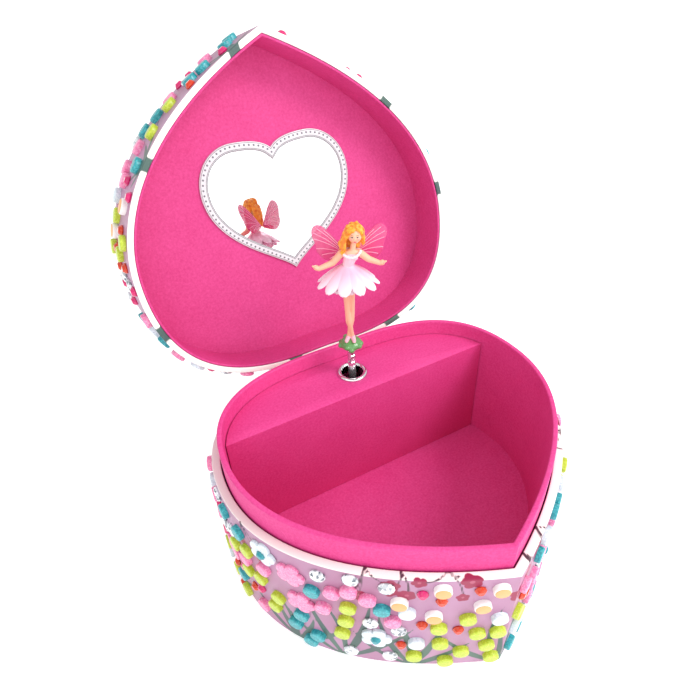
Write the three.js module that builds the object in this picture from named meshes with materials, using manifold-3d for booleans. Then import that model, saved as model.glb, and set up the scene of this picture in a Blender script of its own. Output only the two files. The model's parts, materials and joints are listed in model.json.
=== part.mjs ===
// Child's musical jewellery box of board, in the outline of a heart without its notch.
// Millimetres, +Z up, pointed end to -Y, hinge side to +Y. The origin is the centre of the tray's underside.
// The rest pose is the one in the photo: lid thrown back on its hinge, fairy dancer upright on her spindle.
import * as THREE from "three";
import Module from "manifold-3d";

const wasm = await Module();
wasm.setup();

// Outline of the tray, given as one half from the pointed end round to the middle of the hinge side.
const outerWidth = 160;
const tipReach = 90; // pointed end, in front of the origin
const backReach = 57; // hinge side, behind the origin
const widestY = 0.4;
const tipAngle = 65.75; // degrees between the centre line and each side at the point
const tipPull = 61;
const flankPull = 32.5;
const shoulderPull = 65;
const backPull = 15;
const outlineSteps = 44; // along one half

// Tray: thick board covered in printed paper.
const trayHeight = 66.4;
const trayWall = 3.7;
const trayFloor = 3;
const edgeRound = 0.5;

// Pink liner that stands proud of the tray, so that the lid shuts over it.
const linerInset = 4.3;
const linerWall = 2.2;
const linerProud = 12.3;
const floorTop = 11.4;
const floorCard = 1.6;
const cardRound = 0.4;

// Raised platform over the place of the movement.
const platformDrop = 7.6; // its top below the liner's edge
const platformFront = 22.1;
const platformCard = 1.7;
const fit = 0.35; // play between loose pieces
const seat = 0.05; // gap between pieces that are glued together

// Chromed eyelet and spindle.
const spindleX = 1;
const spindleY = 37;
const spindleRadius = 1.9;
const eyeletRadius = 7.5;
const eyeletHole = 5.2;
const eyeletBarrel = 3.2;
const eyeletWall = 0.7;
const pivotHeight = 10; // the dancer's folding knuckle, above the platform
const knuckleHeight = 3.1; // above the pivot
const baseHeight = 15; // underside of the dancer's green base, above the platform
const tongueWidth = 2;
const slotWidth = 2.2;
const slotRoot = 2.1; // above the pivot
const pinRadius = 0.5;
const pinHole = 0.7;
const pinLength = 3;
const foldRelief = 2.7; // from the pivot down to the foot's shoulder, so that the knuckle can lie down
const tongueFront = 1.28; // the tongue's neck in front of the pivot
const dancerTurn = -28; // degrees, the way the dancer faces at rest

// Lid, modelled shut and then thrown back by its group.
const lidGap = 0.3;
const lidDepth = 41.3;
const lidWall = 2.6;
const lidRound = 1.2;
const liningWall = 1.1;
const liningRound = 0.35;
const liningLip = 0.55; // the lining's edge above the lid's rim
const panelDepth = 21.6; // the lid's inner panel, measured from the tray's rim
const panelCard = 1.6;
const openAngle = 106.7;
const hingeBehind = 2.8;
const hingeAbove = 0.8;

// Cloth strip of the hinge.
const clothThick = 0.5;
const clothHalf = 36;
const clothDown = 14;
const clothUp = 13;

// Heart-shaped mirror on the panel, its point towards the hinge.
const heartTip = [0, -16];
const heartSide = [38, 27];
const heartLobe = [18.5, 47.3];
const heartNotch = [0, 42.4];
const mirrorBorder = 3.8;
const mirrorThick = 1.2;
const mirrorSunk = 0.5;

// Stickers: half sizes and heights.
const foamAcross = 3.45;
const foamUp = 3.3;
const foamHeight = 2.6;
const gemRadius = 2.4;
const gemHeight = 2;
const flowerRadius = 6.6;
const flowerHeight = 1.5;
const foamSides = 16;
const petalSides = 30;

const linerTop = trayHeight + linerProud;
const linerIn = linerInset + linerWall;
const platformTop = linerTop - platformDrop;
const pivotZ = platformTop + pivotHeight;
const hingeY = backReach + hingeBehind;
const hingeZ = trayHeight + hingeAbove;
const lidRim = trayHeight + lidGap;
const lidTop = trayHeight + lidDepth;
const panelFace = trayHeight + panelDepth;
const mirrorFace = panelFace - mirrorThick;

const V = (x, y, z) => new THREE.Vector3(x, y, z);
const radians = THREE.MathUtils.degToRad;

// Finishes as [colour, roughness, metalness].
const finishes = {
  paper: ["#dcb6d2", 0.5, 0],
  card: ["#dd3c86", 0.6, 0],
  chrome: ["#d9dade", 0.2, 0.9],
  cloth: ["#d9c8d8", 0.8, 0],
  border: ["#f8f8fa", 0.35, 0],
  glass: ["#f2f4f6", 0.05, 1],
  figure: ["#f4cdb6", 0.4, 0],
  wing: ["#f0639c", 0.25, 0],
  lime: ["#c3d23e", 0.45, 0],
  pink: ["#f189ba", 0.45, 0],
  teal: ["#2aa2a6", 0.45, 0],
  white: ["#eef0f6", 0.4, 0],
  peach: ["#f4b285", 0.45, 0],
  orange: ["#ea5a20", 0.15, 0],
  magenta: ["#dc2274", 0.15, 0],
};
const material = (finish) => {
  const [color, roughness, metalness] = finishes[finish];
  return new THREE.MeshStandardMaterial({ color, roughness, metalness });
};

const group = (name, parent) => {
  const made = new THREE.Group();
  made.name = name;
  if (parent) parent.add(made);
  return made;
};
const add = (parent, name, geometry, finish) => {
  const mesh = new THREE.Mesh(geometry, material(finish));
  mesh.name = name;
  parent.add(mesh);
  return mesh;
};

// Points of one cubic curve.
function bezier(a, b, c, d, steps) {
  const curve = new THREE.CubicBezierCurve(...[a, b, c, d].map((p) => new THREE.Vector2(...p)));
  return curve.getPoints(steps).map((p) => [p.x, p.y]);
}

// Carries the first end of a half curve to the centre line, dropping what has crossed it.
function toCentre(points) {
  while (points.length > 3 && points[1][0] <= 0) points.shift();
  const [p, q] = points;
  const u = -p[0] / (q[0] - p[0]);
  points[0] = [0, p[1] + u * (q[1] - p[1])];
  return points;
}

// Moves a half curve inwards and joins its two ends to the centre line again.
function insetHalf(half, inset) {
  if (!inset) return half.map((p) => [...p]);
  const moved = half.map((p, i) => {
    const a = half[Math.max(i - 1, 0)];
    const b = half[Math.min(i + 1, half.length - 1)];
    const l = Math.hypot(b[0] - a[0], b[1] - a[1]);
    return [p[0] - (inset * (b[1] - a[1])) / l, p[1] + (inset * (b[0] - a[0])) / l];
  });
  return toCentre(toCentre(moved).reverse()).reverse();
}

// Running length of a polyline at each of its points.
function runs(points) {
  const run = [0];
  for (let i = 1; i < points.length; i++) {
    const [a, b] = [points[i - 1], points[i]];
    run.push(run[i - 1] + Math.hypot(b[0] - a[0], b[1] - a[1]));
  }
  return run;
}

// The point a share of the way along a polyline, and the direction it runs in there.
function along(points, share) {
  const run = runs(points);
  const target = share * run[run.length - 1];
  let k = 0;
  while (k < points.length - 2 && run[k + 1] < target) k++;
  const length = run[k + 1] - run[k];
  const [a, b] = [points[k], points[k + 1]];
  const direction = [(b[0] - a[0]) / length, (b[1] - a[1]) / length];
  const step = target - run[k];
  return { point: [a[0] + step * direction[0], a[1] + step * direction[1]], direction };
}

// Spreads points evenly along a half curve and mirrors it into a closed loop.
function loop(half, steps) {
  const right = Array.from({ length: steps + 1 }, (_, i) => along(half, i / steps).point);
  right[0][0] = 0;
  right[steps][0] = 0;
  const left = right.slice(1, steps).reverse().map(([x, y]) => [-x, y]);
  return [...right, ...left];
}

const tipX = tipPull * Math.sin(radians(tipAngle));
const tipY = tipPull * Math.cos(radians(tipAngle)) - tipReach;
const side = outerWidth / 2;
const hingeMiddle = [0, backReach];
const boxHalf = [
  ...bezier([0, -tipReach], [tipX, tipY], [side, widestY - flankPull], [side, widestY], 80),
  ...bezier([side, widestY], [side, widestY + shoulderPull], [backPull, backReach], hingeMiddle, 80).slice(1),
];
const boxLoop = (inset) => loop(insetHalf(boxHalf, inset), outlineSteps);

const fromPoints = (points) => {
  const values = new Float32Array(points.flatMap((p) => [p.x, p.y, p.z]));
  return new THREE.BufferGeometry().setAttribute("position", new THREE.BufferAttribute(values, 3));
};

// The skin between two rings of equal count.
function skin(low, high) {
  const faces = [];
  low.forEach((p, i) => {
    const j = (i + 1) % low.length;
    faces.push(p, low[j], high[j], p, high[j], high[i]);
  });
  return faces;
}

// A flat cap on a ring, seen from the side its points run anticlockwise on.
function cap(ring, flat) {
  const triangles = THREE.ShapeUtils.triangulateShape(flat, []);
  return triangles.flatMap(([a, b, c]) => [ring[a], ring[b], ring[c]]);
}
const turnedOver = (faces) => faces.map((_, i) => faces[i - (i % 3) + [0, 2, 1][i % 3]]);

// One closed body from rings of equal count, capped at its first and last ring.
function loft(rings) {
  const sides = rings.slice(1).flatMap((ring, i) => skin(rings[i], ring));
  const flat = (ring) => ring.map((p) => new THREE.Vector2(p.x, p.y));
  const first = rings[0];
  const last = rings[rings.length - 1];
  return fromPoints([...sides, ...turnedOver(cap(first, flat(first))), ...cap(last, flat(last))]);
}
const level = (points, z) => points.map(([x, y]) => V(x, y, z));
const boxRings = (profile) => profile.map(([inset, z]) => level(boxLoop(inset), z));

// Solids for joining and cutting, with points closer than a ten-thousandth of a millimetre made one.
function toSolid(geometry) {
  const flat = geometry.index ? geometry.toNonIndexed() : geometry;
  const p = flat.getAttribute("position");
  const seen = new Map();
  const corners = [];
  for (let i = 0; i < p.count; i++) {
    const point = [p.getX(i), p.getY(i), p.getZ(i)];
    const key = point.map((v) => Math.round(v * 1e4)).join();
    if (!seen.has(key)) seen.set(key, { id: seen.size, point });
    corners.push(seen.get(key).id);
  }
  const distinct = (_, i) => {
    const [a, b, c] = corners.slice(i - (i % 3), i - (i % 3) + 3);
    return a !== b && b !== c && a !== c;
  };
  const vertProperties = new Float32Array([...seen.values()].flatMap((v) => v.point));
  const triVerts = new Uint32Array(corners.filter(distinct));
  return new wasm.Manifold(new wasm.Mesh({ numProp: 3, vertProperties, triVerts }));
}
function toGeometry(solid) {
  const { triVerts, vertProperties, numProp } = solid.getMesh();
  const points = Array.from(triVerts, (v) => V(...vertProperties.slice(v * numProp, v * numProp + 3)));
  return fromPoints(points);
}
const join = (list) => toGeometry(list.map(toSolid).reduce((a, b) => a.add(b)));
const cut = (body, ...tools) => toGeometry(tools.map(toSolid).reduce((a, b) => a.subtract(b), toSolid(body)));
const common = (a, b) => toGeometry(toSolid(a).intersect(toSolid(b)));

// Simple bodies: an upright rod, a cross rod along X, a block and the two shapes of the moulded figure.
function rod(radius, low, high, sides = 24) {
  const body = new THREE.CylinderGeometry(radius, radius, high - low, sides).rotateX(Math.PI / 2);
  return body.translate(0, 0, (low + high) / 2);
}
function crossRod(radius, length, z, sides = 16) {
  return new THREE.CylinderGeometry(radius, radius, length, sides).rotateZ(Math.PI / 2).translate(0, 0, z);
}
function block(width, front, back, low, high) {
  const body = new THREE.BoxGeometry(width, back - front, high - low);
  return body.translate(0, (front + back) / 2, (low + high) / 2);
}
function ball([x, y, z], [rx, ry, rz], sides = 14) {
  const body = new THREE.SphereGeometry(1, sides, Math.round(sides * 0.7)).rotateX(Math.PI / 2);
  return body.scale(rx, ry, rz).translate(x, y, z);
}
function limb(a, radiusA, b, radiusB, sides = 10) {
  const way = V(...b).sub(V(...a));
  const length = way.length();
  const body = new THREE.CylinderGeometry(radiusB, radiusA, length, sides).translate(0, length / 2, 0);
  body.applyQuaternion(new THREE.Quaternion().setFromUnitVectors(V(0, 1, 0), way.normalize()));
  const round = (r) => [r, r, r];
  return [body.translate(...a), ball(a, round(radiusA), sides), ball(b, round(radiusB), sides)];
}

// A ring of points at one height.
const oval = (rx, ry, z, sides) =>
  Array.from({ length: sides }, (_, i) => {
    const t = (2 * Math.PI * i) / sides;
    return V(rx * Math.cos(t), ry * Math.sin(t), z);
  });

// A closed profile of [radius, height] spun about Z.
function lathe(profile, sides) {
  const rings = profile.map(([r, z]) => oval(r, r, z, sides));
  return fromPoints(rings.flatMap((low, k) => skin(low, rings[(k + 1) % rings.length])));
}

const root = group("music_box");
const box = group("box", root);

// Tray and liner, each one profile carried round the outline.
const trayProfile = [
  [edgeRound, 0],
  [0, edgeRound],
  [0, trayHeight - edgeRound],
  [edgeRound, trayHeight],
  [trayWall - edgeRound, trayHeight],
  [trayWall, trayHeight - edgeRound],
  [trayWall, trayFloor],
];
add(box, "tray", loft(boxRings(trayProfile)), "paper");
const linerProfile = [
  [linerIn, floorTop - floorCard],
  [linerIn, trayFloor + seat],
  [linerInset, trayFloor + seat],
  [linerInset, linerTop - cardRound],
  [linerInset + cardRound, linerTop],
  [linerIn - cardRound, linerTop],
  [linerIn, linerTop - cardRound],
  [linerIn, floorTop],
];
add(box, "liner", loft(boxRings(linerProfile)), "card");

// Platform: what lies behind the front wall inside the liner, hollow underneath, with the eyelet's hole.
const roomy = 2 * outerWidth;
function behind(inset, front, low, high) {
  const whole = loft([level(boxLoop(inset), low), level(boxLoop(inset), high)]);
  return common(whole, block(roomy, front, roomy, low - 1, high + 1));
}
const platformInset = linerIn + fit;
const hollowInset = platformInset + platformCard;
const barrelHole = rod(eyeletHole + 1, platformTop - 5, platformTop + 5, 40).translate(spindleX, spindleY, 0);
const platform = cut(
  behind(platformInset, platformFront, floorTop + seat, platformTop),
  behind(hollowInset, platformFront + platformCard, floorTop - 1, platformTop - platformCard),
  barrelHole,
);
add(box, "platform", platform, "card");

// Eyelet: rolled lip on the platform, barrel through it.
const spindle = group("spindle", box);
spindle.position.set(spindleX, spindleY, 0);
const eyeletProfile = [
  [eyeletHole + eyeletWall, platformTop - eyeletBarrel],
  [eyeletHole + eyeletWall, platformTop + seat],
  [eyeletRadius - 0.1, platformTop + seat],
  [eyeletRadius, platformTop + 0.45],
  [eyeletRadius - 0.5, platformTop + 1.05],
  [eyeletRadius - 1.2, platformTop + 1.2],
  [eyeletHole + 0.3, platformTop + 0.8],
  [eyeletHole, platformTop + 0.1],
  [eyeletHole, platformTop - eyeletBarrel],
];
add(spindle, "eyelet", lathe(eyeletProfile, 40), "chrome");

// Spindle: fixed foot with a round tongue and a cross pin, folding knuckle, turning rod.
const shoulder = pivotZ - foldRelief;
const tongue = join([
  block(tongueWidth, -tongueFront, spindleRadius, shoulder - 1, pivotZ),
  crossRod(spindleRadius - seat, tongueWidth, pivotZ, 24),
]);
const foot = join([
  rod(spindleRadius, floorTop + seat, shoulder),
  common(tongue, rod(spindleRadius - seat / 2, shoulder - 1, pivotZ + spindleRadius)),
  crossRod(pinRadius, pinLength, pivotZ),
]);
add(spindle, "spindle_foot", foot, "chrome");
const knuckleTop = pivotZ + knuckleHeight;
const rounded = join([
  block(roomy, -spindleRadius, spindleRadius, pivotZ, knuckleTop),
  crossRod(spindleRadius, roomy, pivotZ, 24),
]);
const knuckle = cut(
  common(rod(spindleRadius, pivotZ - spindleRadius - 1, knuckleTop), rounded),
  block(slotWidth, -5, 5, pivotZ - 5, pivotZ + slotRoot),
  crossRod(pinHole, pinLength + 0.2, pivotZ),
);
add(spindle, "spindle_knuckle", knuckle, "chrome");
const turningRod = rod(spindleRadius, knuckleTop + 2 * seat, platformTop + baseHeight - seat);
add(spindle, "spindle_rod", turningRod, "chrome");

// Dancer, measured from the platform's top in a group that turns her.
const dancer = group("dancer", box);
dancer.position.set(spindleX, spindleY, platformTop);
dancer.rotation.z = radians(dancerTurn);

// The skirt's outline, from inside the hem out and up to the waist: half sizes, height, scallop and drop.
const skirtRings = [
  [2.6, 2.2, 56.2, 0, 0],
  [5.0, 3.9, 55.0, 0.02, 0.2],
  [9.0, 6.6, 52.2, 0.08, 0.8],
  [12.4, 9.0, 49.6, 0.14, 1.6],
  [13.4, 9.8, 50.3, 0.15, 1.7],
  [10.4, 7.7, 53.4, 0.08, 1.0],
  [6.6, 5.2, 56.2, 0.03, 0.3],
  [3.6, 3.1, 58.4, 0, 0],
  [2.7, 2.3, 60.0, 0, 0],
];
const skirtSides = 50;
function skirtRing([rx, ry, z, scallop, drop]) {
  return Array.from({ length: skirtSides }, (_, i) => {
    const t = (2 * Math.PI * i) / skirtSides;
    const lobe = Math.abs(Math.cos(5 * t + 0.4));
    const k = 1 + scallop * (lobe - 0.5);
    return V(rx * k * Math.cos(t), ry * k * Math.sin(t), z - drop * lobe);
  });
}

// The figure's masses as [centre, half sizes, sides] and its limbs as [from, radius, to, radius, sides].
const masses = [
  // green base of lumps
  [[0, 0, 18], [5.0, 5.0, 2.95], 20],
  [[3.4, -1.6, 17.9], [2.6, 2.6, 2.1]],
  [[-3.5, -1.0, 18.2], [2.5, 2.6, 2.2]],
  [[0.6, 3.6, 18.0], [2.6, 2.4, 2.2]],
  [[0.4, -3.7, 17.6], [2.8, 2.3, 1.9]],
  [[4.2, 1.4, 19.0], [1.7, 1.7, 1.6]],
  [[-3.2, 2.2, 19.2], [2.0, 2.0, 2.2]],
  // chest and shoulders
  [[0.4, -1.4, 64.4], [1.9, 1.7, 1.8]],
  [[3.2, -1.4, 64.4], [1.9, 1.7, 1.8]],
  [[1.8, 0, 65.4], [4.2, 2.4, 2.6], 18],
  // head and long hair, thicker on her right
  [[3.6, -0.9, 74.4], [3.3, 3.3, 3.9], 20],
  [[3.7, 0.6, 75.2], [3.9, 3.8, 4.0], 20],
  [[2.4, 3.1, 69.6], [3.4, 1.8, 6.0], 16],
];
const limbs = [
  // shoes
  [[-0.9, 0.6, 21.4], 1.2, [-1.9, -1.9, 20.9], 1.0],
  [[1.0, 0.2, 21.6], 1.2, [1.5, -2.3, 20.9], 1.0],
  // crossed legs
  [[-0.8, 0.6, 22.4], 0.95, [0.6, 0.4, 30.5], 1.6],
  [[0.6, 0.4, 30.5], 1.6, [1.3, 0.3, 36.5], 1.35],
  [[1.3, 0.3, 36.5], 1.35, [1.4, 0.2, 57], 2.0],
  [[0.9, 0.4, 22.6], 0.95, [-0.5, -0.6, 30.5], 1.6],
  [[-0.5, -0.6, 30.5], 1.6, [-0.9, -0.7, 36.5], 1.35],
  [[-0.9, -0.7, 36.5], 1.35, [-1.1, 0, 57], 2.0],
  // waist and neck lean a little to her left
  [[0.2, 0, 59], 2.5, [1.5, -0.1, 64], 3.0, 16],
  [[2.2, 0, 66.6], 1.5, [3.1, -0.2, 71], 1.35],
  // arms and hands
  [[-2.6, 0, 66.2], 1.45, [-6.6, 0.4, 61.4], 1.3],
  [[-6.6, 0.4, 61.4], 1.3, [-12.8, -0.8, 59.4], 1.0],
  [[-12.8, -0.8, 59.4], 1.0, [-15.2, -1.1, 60.9], 0.85],
  [[6.2, 0, 65.6], 1.45, [9.0, 0.4, 62.4], 1.3],
  [[9.0, 0.4, 62.4], 1.3, [14.4, -0.8, 61.0], 1.0],
  [[14.4, -0.8, 61.0], 1.0, [16.9, -1.1, 61.9], 0.85],
  // locks in front of the shoulders
  [[0.2, 0.2, 75.4], 1.5, [-1.2, -1.0, 68.0], 1.5],
  [[-1.2, -1.0, 68.0], 1.5, [-1.6, -1.2, 66.4], 1.0],
  [[6.8, 0.4, 75], 1.3, [6.9, -0.4, 70.2], 1.1],
];
const figure = [...masses.map((row) => ball(...row)), ...limbs.flatMap((row) => limb(...row))];
add(dancer, "dancer_figure", join([...figure, loft(skirtRings.map(skirtRing))]), "figure");

// Butterfly wings: one translucent plate, bent back a little on each side.
const wingEdge = [
  [1.2, 62.5],
  [4.5, 66.8],
  [8.2, 71.6],
  [11.4, 74.6],
  [13.8, 75.0],
  [15.6, 73.4],
  [16.0, 70.4],
  [15.2, 67.6],
  [14.6, 65.4],
  [14.2, 62.6],
  [12.4, 60.0],
  [9.8, 58.4],
  [7.4, 58.2],
  [4.6, 59.2],
  [1.2, 60.8],
];
const wingMiddle = 1.3;
const wingBack = 5.4;
const wingThick = 0.7;
const wingBend = 0.12;
function wing(side) {
  const edge = side > 0 ? [...wingEdge].reverse() : wingEdge.map(([x, z]) => [-x, z]);
  const at = (y) => edge.map(([x, z]) => V(wingMiddle + x, y + wingBend * Math.max(Math.abs(x) - 1, 0), z));
  const flat = edge.map(([x, z]) => new THREE.Vector2(x, z));
  const front = at(wingBack);
  const back = at(wingBack + wingThick);
  return fromPoints([...skin(back, front), ...turnedOver(cap(back, flat)), ...cap(front, flat)]);
}
const wingRoot = new THREE.BoxGeometry(3.2, 0.9, 3.0).translate(wingMiddle, wingBack + wingThick / 2, 61.3);
add(dancer, "dancer_wings", join([wing(1), wing(-1), wingRoot]), "wing");

// Lid: its group swings about the hinge, and the pieces inside are measured shut.
const hinge = group("hinge", root);
hinge.position.set(0, hingeY, hingeZ);
hinge.rotation.x = radians(-openAngle);
const lid = group("lid", hinge);
lid.position.set(0, -hingeY, -hingeZ);
const lidProfile = [
  [lidWall, lidTop - lidWall],
  [lidWall, lidRim + edgeRound],
  [lidWall - edgeRound, lidRim],
  [edgeRound, lidRim],
  [0, lidRim + edgeRound],
  [0, lidTop - lidRound],
  [0.3 * lidRound, lidTop - 0.3 * lidRound],
  [lidRound, lidTop],
];
add(lid, "lid_shell", loft(boxRings(lidProfile)), "paper");
const liningOut = lidWall + seat;
const liningIn = liningOut + liningWall;
const liningEdge = lidRim + liningLip;
const liningProfile = [
  [liningIn, panelFace],
  [liningIn, liningEdge + liningRound],
  [liningIn - liningRound, liningEdge],
  [liningOut + liningRound, liningEdge],
  [liningOut, liningEdge + liningRound],
  [liningOut, panelFace + panelCard],
];
add(lid, "lid_lining", loft(boxRings(liningProfile)), "card");

// Heart mirror in its printed border, both stuck on the panel.
const heartHalf = [
  ...bezier(heartTip, [8, -7], [38, 3], heartSide, 40),
  ...bezier(heartSide, [38, 39], [29, 47.3], heartLobe, 26).slice(1),
  ...bezier(heartLobe, [10, 47.3], [3.5, 46], heartNotch, 18).slice(1),
];
const heartLoop = (inset) => loop(insetHalf(heartHalf, inset), 40).map(([x, y]) => [x, -y]).reverse();
const heart = (inset, z) => level(heartLoop(inset), z);
const borderOuter = loft([
  heart(0.35, mirrorFace),
  heart(0, mirrorFace + 0.35),
  heart(0, panelFace - seat),
]);
const borderInner = loft([heart(mirrorBorder, mirrorFace - 1), heart(mirrorBorder, panelFace + 1)]);
add(lid, "mirror_border", cut(borderOuter, borderInner), "border");
const glassInset = mirrorBorder + 0.1;
const glass = loft([heart(glassInset, mirrorFace + mirrorSunk), heart(glassInset, panelFace - seat)]);
add(lid, "mirror", glass, "glass");

// A flat section of [outwards, height] carried along the outline's back.
function strip(section) {
  const path = boxLoop(0).filter(([x, y]) => y > widestY && Math.abs(x) <= clothHalf);
  path.sort((a, b) => b[0] - a[0]);
  const rings = path.map(([x, y], i) => {
    const a = path[Math.max(i - 1, 0)];
    const b = path[Math.min(i + 1, path.length - 1)];
    const out = V(b[1] - a[1], a[0] - b[0], 0).normalize();
    return section.map(([o, z]) => V(x + out.x * o, y + out.y * o, z));
  });
  const sides = rings.slice(1).flatMap((ring, i) => skin(rings[i], ring));
  const flat = section.map(([o, z]) => new THREE.Vector2(o, z));
  const last = rings[rings.length - 1];
  return fromPoints(turnedOver([...sides, ...turnedOver(cap(rings[0], flat)), ...cap(last, flat)]));
}

// Cloth of the hinge: one leaf on the tray, which folds over its edge, and one on the lid.
const trayLeaf = [
  [seat, trayHeight - clothDown],
  [clothThick, trayHeight - clothDown],
  [clothThick, trayHeight - 0.6],
  [2.4, trayHeight + 0.2],
  [2.3, trayHeight + 0.65],
  [seat, trayHeight - 0.2],
];
const lidLeaf = [
  [seat, lidRim + 1.2],
  [clothThick, lidRim + 1.2],
  [clothThick, lidRim + clothUp],
  [seat, lidRim + clothUp],
];
add(box, "hinge_cloth_tray", strip(trayLeaf), "cloth");
add(lid, "hinge_cloth_lid", strip(lidLeaf), "cloth");

// Bodies of the stickers, lying on Z = 0.
function petals(shrink, z) {
  return oval(1, 1, z, petalSides).map((p, i) => {
    const lobe = Math.abs(Math.cos((2.5 * 2 * Math.PI * i) / petalSides)) ** 0.7;
    const r = flowerRadius * (0.8 + 0.2 * lobe) - shrink;
    return V(r * p.x, r * p.y, z);
  });
}
const foam = (k, z) => oval(foamAcross * k, foamUp * k, foamHeight * z, foamSides);
const gem = (k, z) => oval(gemRadius * k, gemRadius * k, gemHeight * z, 8);
const stickerBodies = {
  oval: () => loft([foam(1, 0), foam(1, 0.7), foam(0.93, 0.93), foam(0.75, 1)]),
  gem: () => loft([gem(0.92, 0), gem(1, 0.26), gem(0.55, 1)]),
  flower: () => loft([petals(0, 0), petals(0, 0.75 * flowerHeight), petals(0.4, flowerHeight)]),
};

// Larger stickers of the tray: kind, tone, share of the way round from the point to the hinge, share of the
// height. The first table is the side to the left of the point, the second the side to its right.
const leftStickers = [
  ["oval", "peach", 0.118, 0.92],
  ["oval", "peach", 0.028, 0.9],
  ["oval", "peach", 0.052, 0.74],
  ["oval", "peach", 0.182, 0.77],
  ["oval", "peach", 0.128, 0.64],
  ["oval", "lime", 0.072, 0.6],
  ["oval", "lime", 0.118, 0.5],
  ["oval", "lime", 0.052, 0.42],
  ["oval", "lime", 0.113, 0.31],
  ["oval", "lime", 0.034, 0.26],
  ["oval", "lime", 0.075, 0.2],
  ["oval", "lime", 0.155, 0.14],
  ["oval", "lime", 0.266, 0.64],
  ["oval", "lime", 0.27, 0.48],
  ["oval", "lime", 0.397, 0.44],
  ["oval", "lime", 0.459, 0.74],
  ["oval", "pink", 0.263, 0.82],
  ["oval", "pink", 0.233, 0.77],
  ["oval", "pink", 0.193, 0.56],
  ["oval", "pink", 0.42, 0.69],
  ["oval", "teal", 0.325, 0.72],
  ["oval", "teal", 0.21, 0.68],
  ["oval", "teal", 0.353, 0.37],
  ["oval", "teal", 0.367, 0.23],
  ["oval", "teal", 0.325, 0.18],
  ["gem", "orange", 0.117, 0.8],
  ["gem", "orange", 0.178, 0.27],
  ["gem", "magenta", 0.147, 0.87],
  ["flower", "white", 0.222, 0.33],
  ["flower", "white", 0.417, 0.87],
  ["flower", "pink", 0.3635, 0.8],
  ["flower", "pink", 0.35, 0.53],
  ["flower", "pink", 0.528, 0.49],
  ["oval", "teal", 0.66, 0.7],
  ["oval", "lime", 0.73, 0.35],
  ["oval", "pink", 0.85, 0.62],
];
const rightStickers = [
  ["oval", "pink", 0.025, 0.8],
  ["oval", "teal", 0.08, 0.84],
  ["flower", "white", 0.16, 0.5],
  ["oval", "lime", 0.26, 0.78],
  ["oval", "teal", 0.38, 0.4],
  ["flower", "pink", 0.5, 0.66],
  ["oval", "lime", 0.64, 0.35],
  ["gem", "orange", 0.74, 0.7],
  ["oval", "pink", 0.86, 0.4],
];
const wall = boxLoop(0).slice(0, outlineSteps + 1);
function stick([kind, tone, share, height], sign, number) {
  const { point, direction } = along(wall, share);
  const out = V(sign * direction[1], -direction[0], 0);
  const mesh = add(box, `sticker_${String(number).padStart(2, "0")}`, stickerBodies[kind](), tone);
  mesh.position.set(sign * point[0], point[1], height * trayHeight).addScaledVector(out, seat);
  mesh.quaternion.setFromRotationMatrix(new THREE.Matrix4().makeBasis(V(-out.y, out.x, 0), V(0, 0, 1), out));
}
leftStickers.forEach((row, i) => stick(row, -1, i + 1));
rightStickers.forEach((row, i) => stick(row, 1, leftStickers.length + i + 1));

export default root;
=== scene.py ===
# %% [markdown]
# A child's musical jewellery box: thick board covered in printed paper, a pink card insert, a mirror in
# the lid and a small moulded fairy on a chromed spindle. The solids come from the CAD model, which is
# loaded first and never changed. Each cell below dresses one sub-part, from the board to the stickers.

# %% Load the frame
import json
import math

import bmesh
import bpy
import numpy as np
from mathutils import Euler, Matrix, Vector


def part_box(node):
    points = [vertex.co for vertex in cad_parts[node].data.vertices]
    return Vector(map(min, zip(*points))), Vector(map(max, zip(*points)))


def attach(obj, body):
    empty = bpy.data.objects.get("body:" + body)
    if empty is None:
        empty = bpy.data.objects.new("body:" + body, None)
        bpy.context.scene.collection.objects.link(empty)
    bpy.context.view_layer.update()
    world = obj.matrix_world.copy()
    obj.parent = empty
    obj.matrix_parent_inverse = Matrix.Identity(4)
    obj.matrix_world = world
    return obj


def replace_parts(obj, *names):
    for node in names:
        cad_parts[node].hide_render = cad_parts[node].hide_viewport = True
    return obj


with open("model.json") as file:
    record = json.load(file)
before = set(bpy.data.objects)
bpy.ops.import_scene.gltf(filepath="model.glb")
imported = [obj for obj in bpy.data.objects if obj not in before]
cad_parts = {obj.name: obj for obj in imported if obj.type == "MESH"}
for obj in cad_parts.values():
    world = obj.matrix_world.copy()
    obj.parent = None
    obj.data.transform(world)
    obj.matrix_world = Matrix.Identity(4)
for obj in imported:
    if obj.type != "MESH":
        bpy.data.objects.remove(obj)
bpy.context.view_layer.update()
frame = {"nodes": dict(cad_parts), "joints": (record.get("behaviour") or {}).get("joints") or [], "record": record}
MM = 0.001
JOINT = {j["name"]: j for j in frame["joints"]}
print("nodes:", len(frame["nodes"]), "joints:", ", ".join(JOINT))

# %% [markdown]
# The photo was taken from above on the left, about 35 cm away, so near edges look larger than far ones.
# The lens and place below came from fitting the box's own edges. The small shift is the photo's crop.

# %% Camera
CAMERA_PLACE = Vector((-103.8, -164.6, 261.7)) * MM
CAMERA_AZIMUTH = -31.34
CAMERA_ELEVATION = 40.96
CAMERA_ROLL = -0.11
PHOTO_PIXELS = 689
FOCAL_PIXELS = 601.2
CROP_SHIFT = (-39.0, 37.1)

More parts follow.
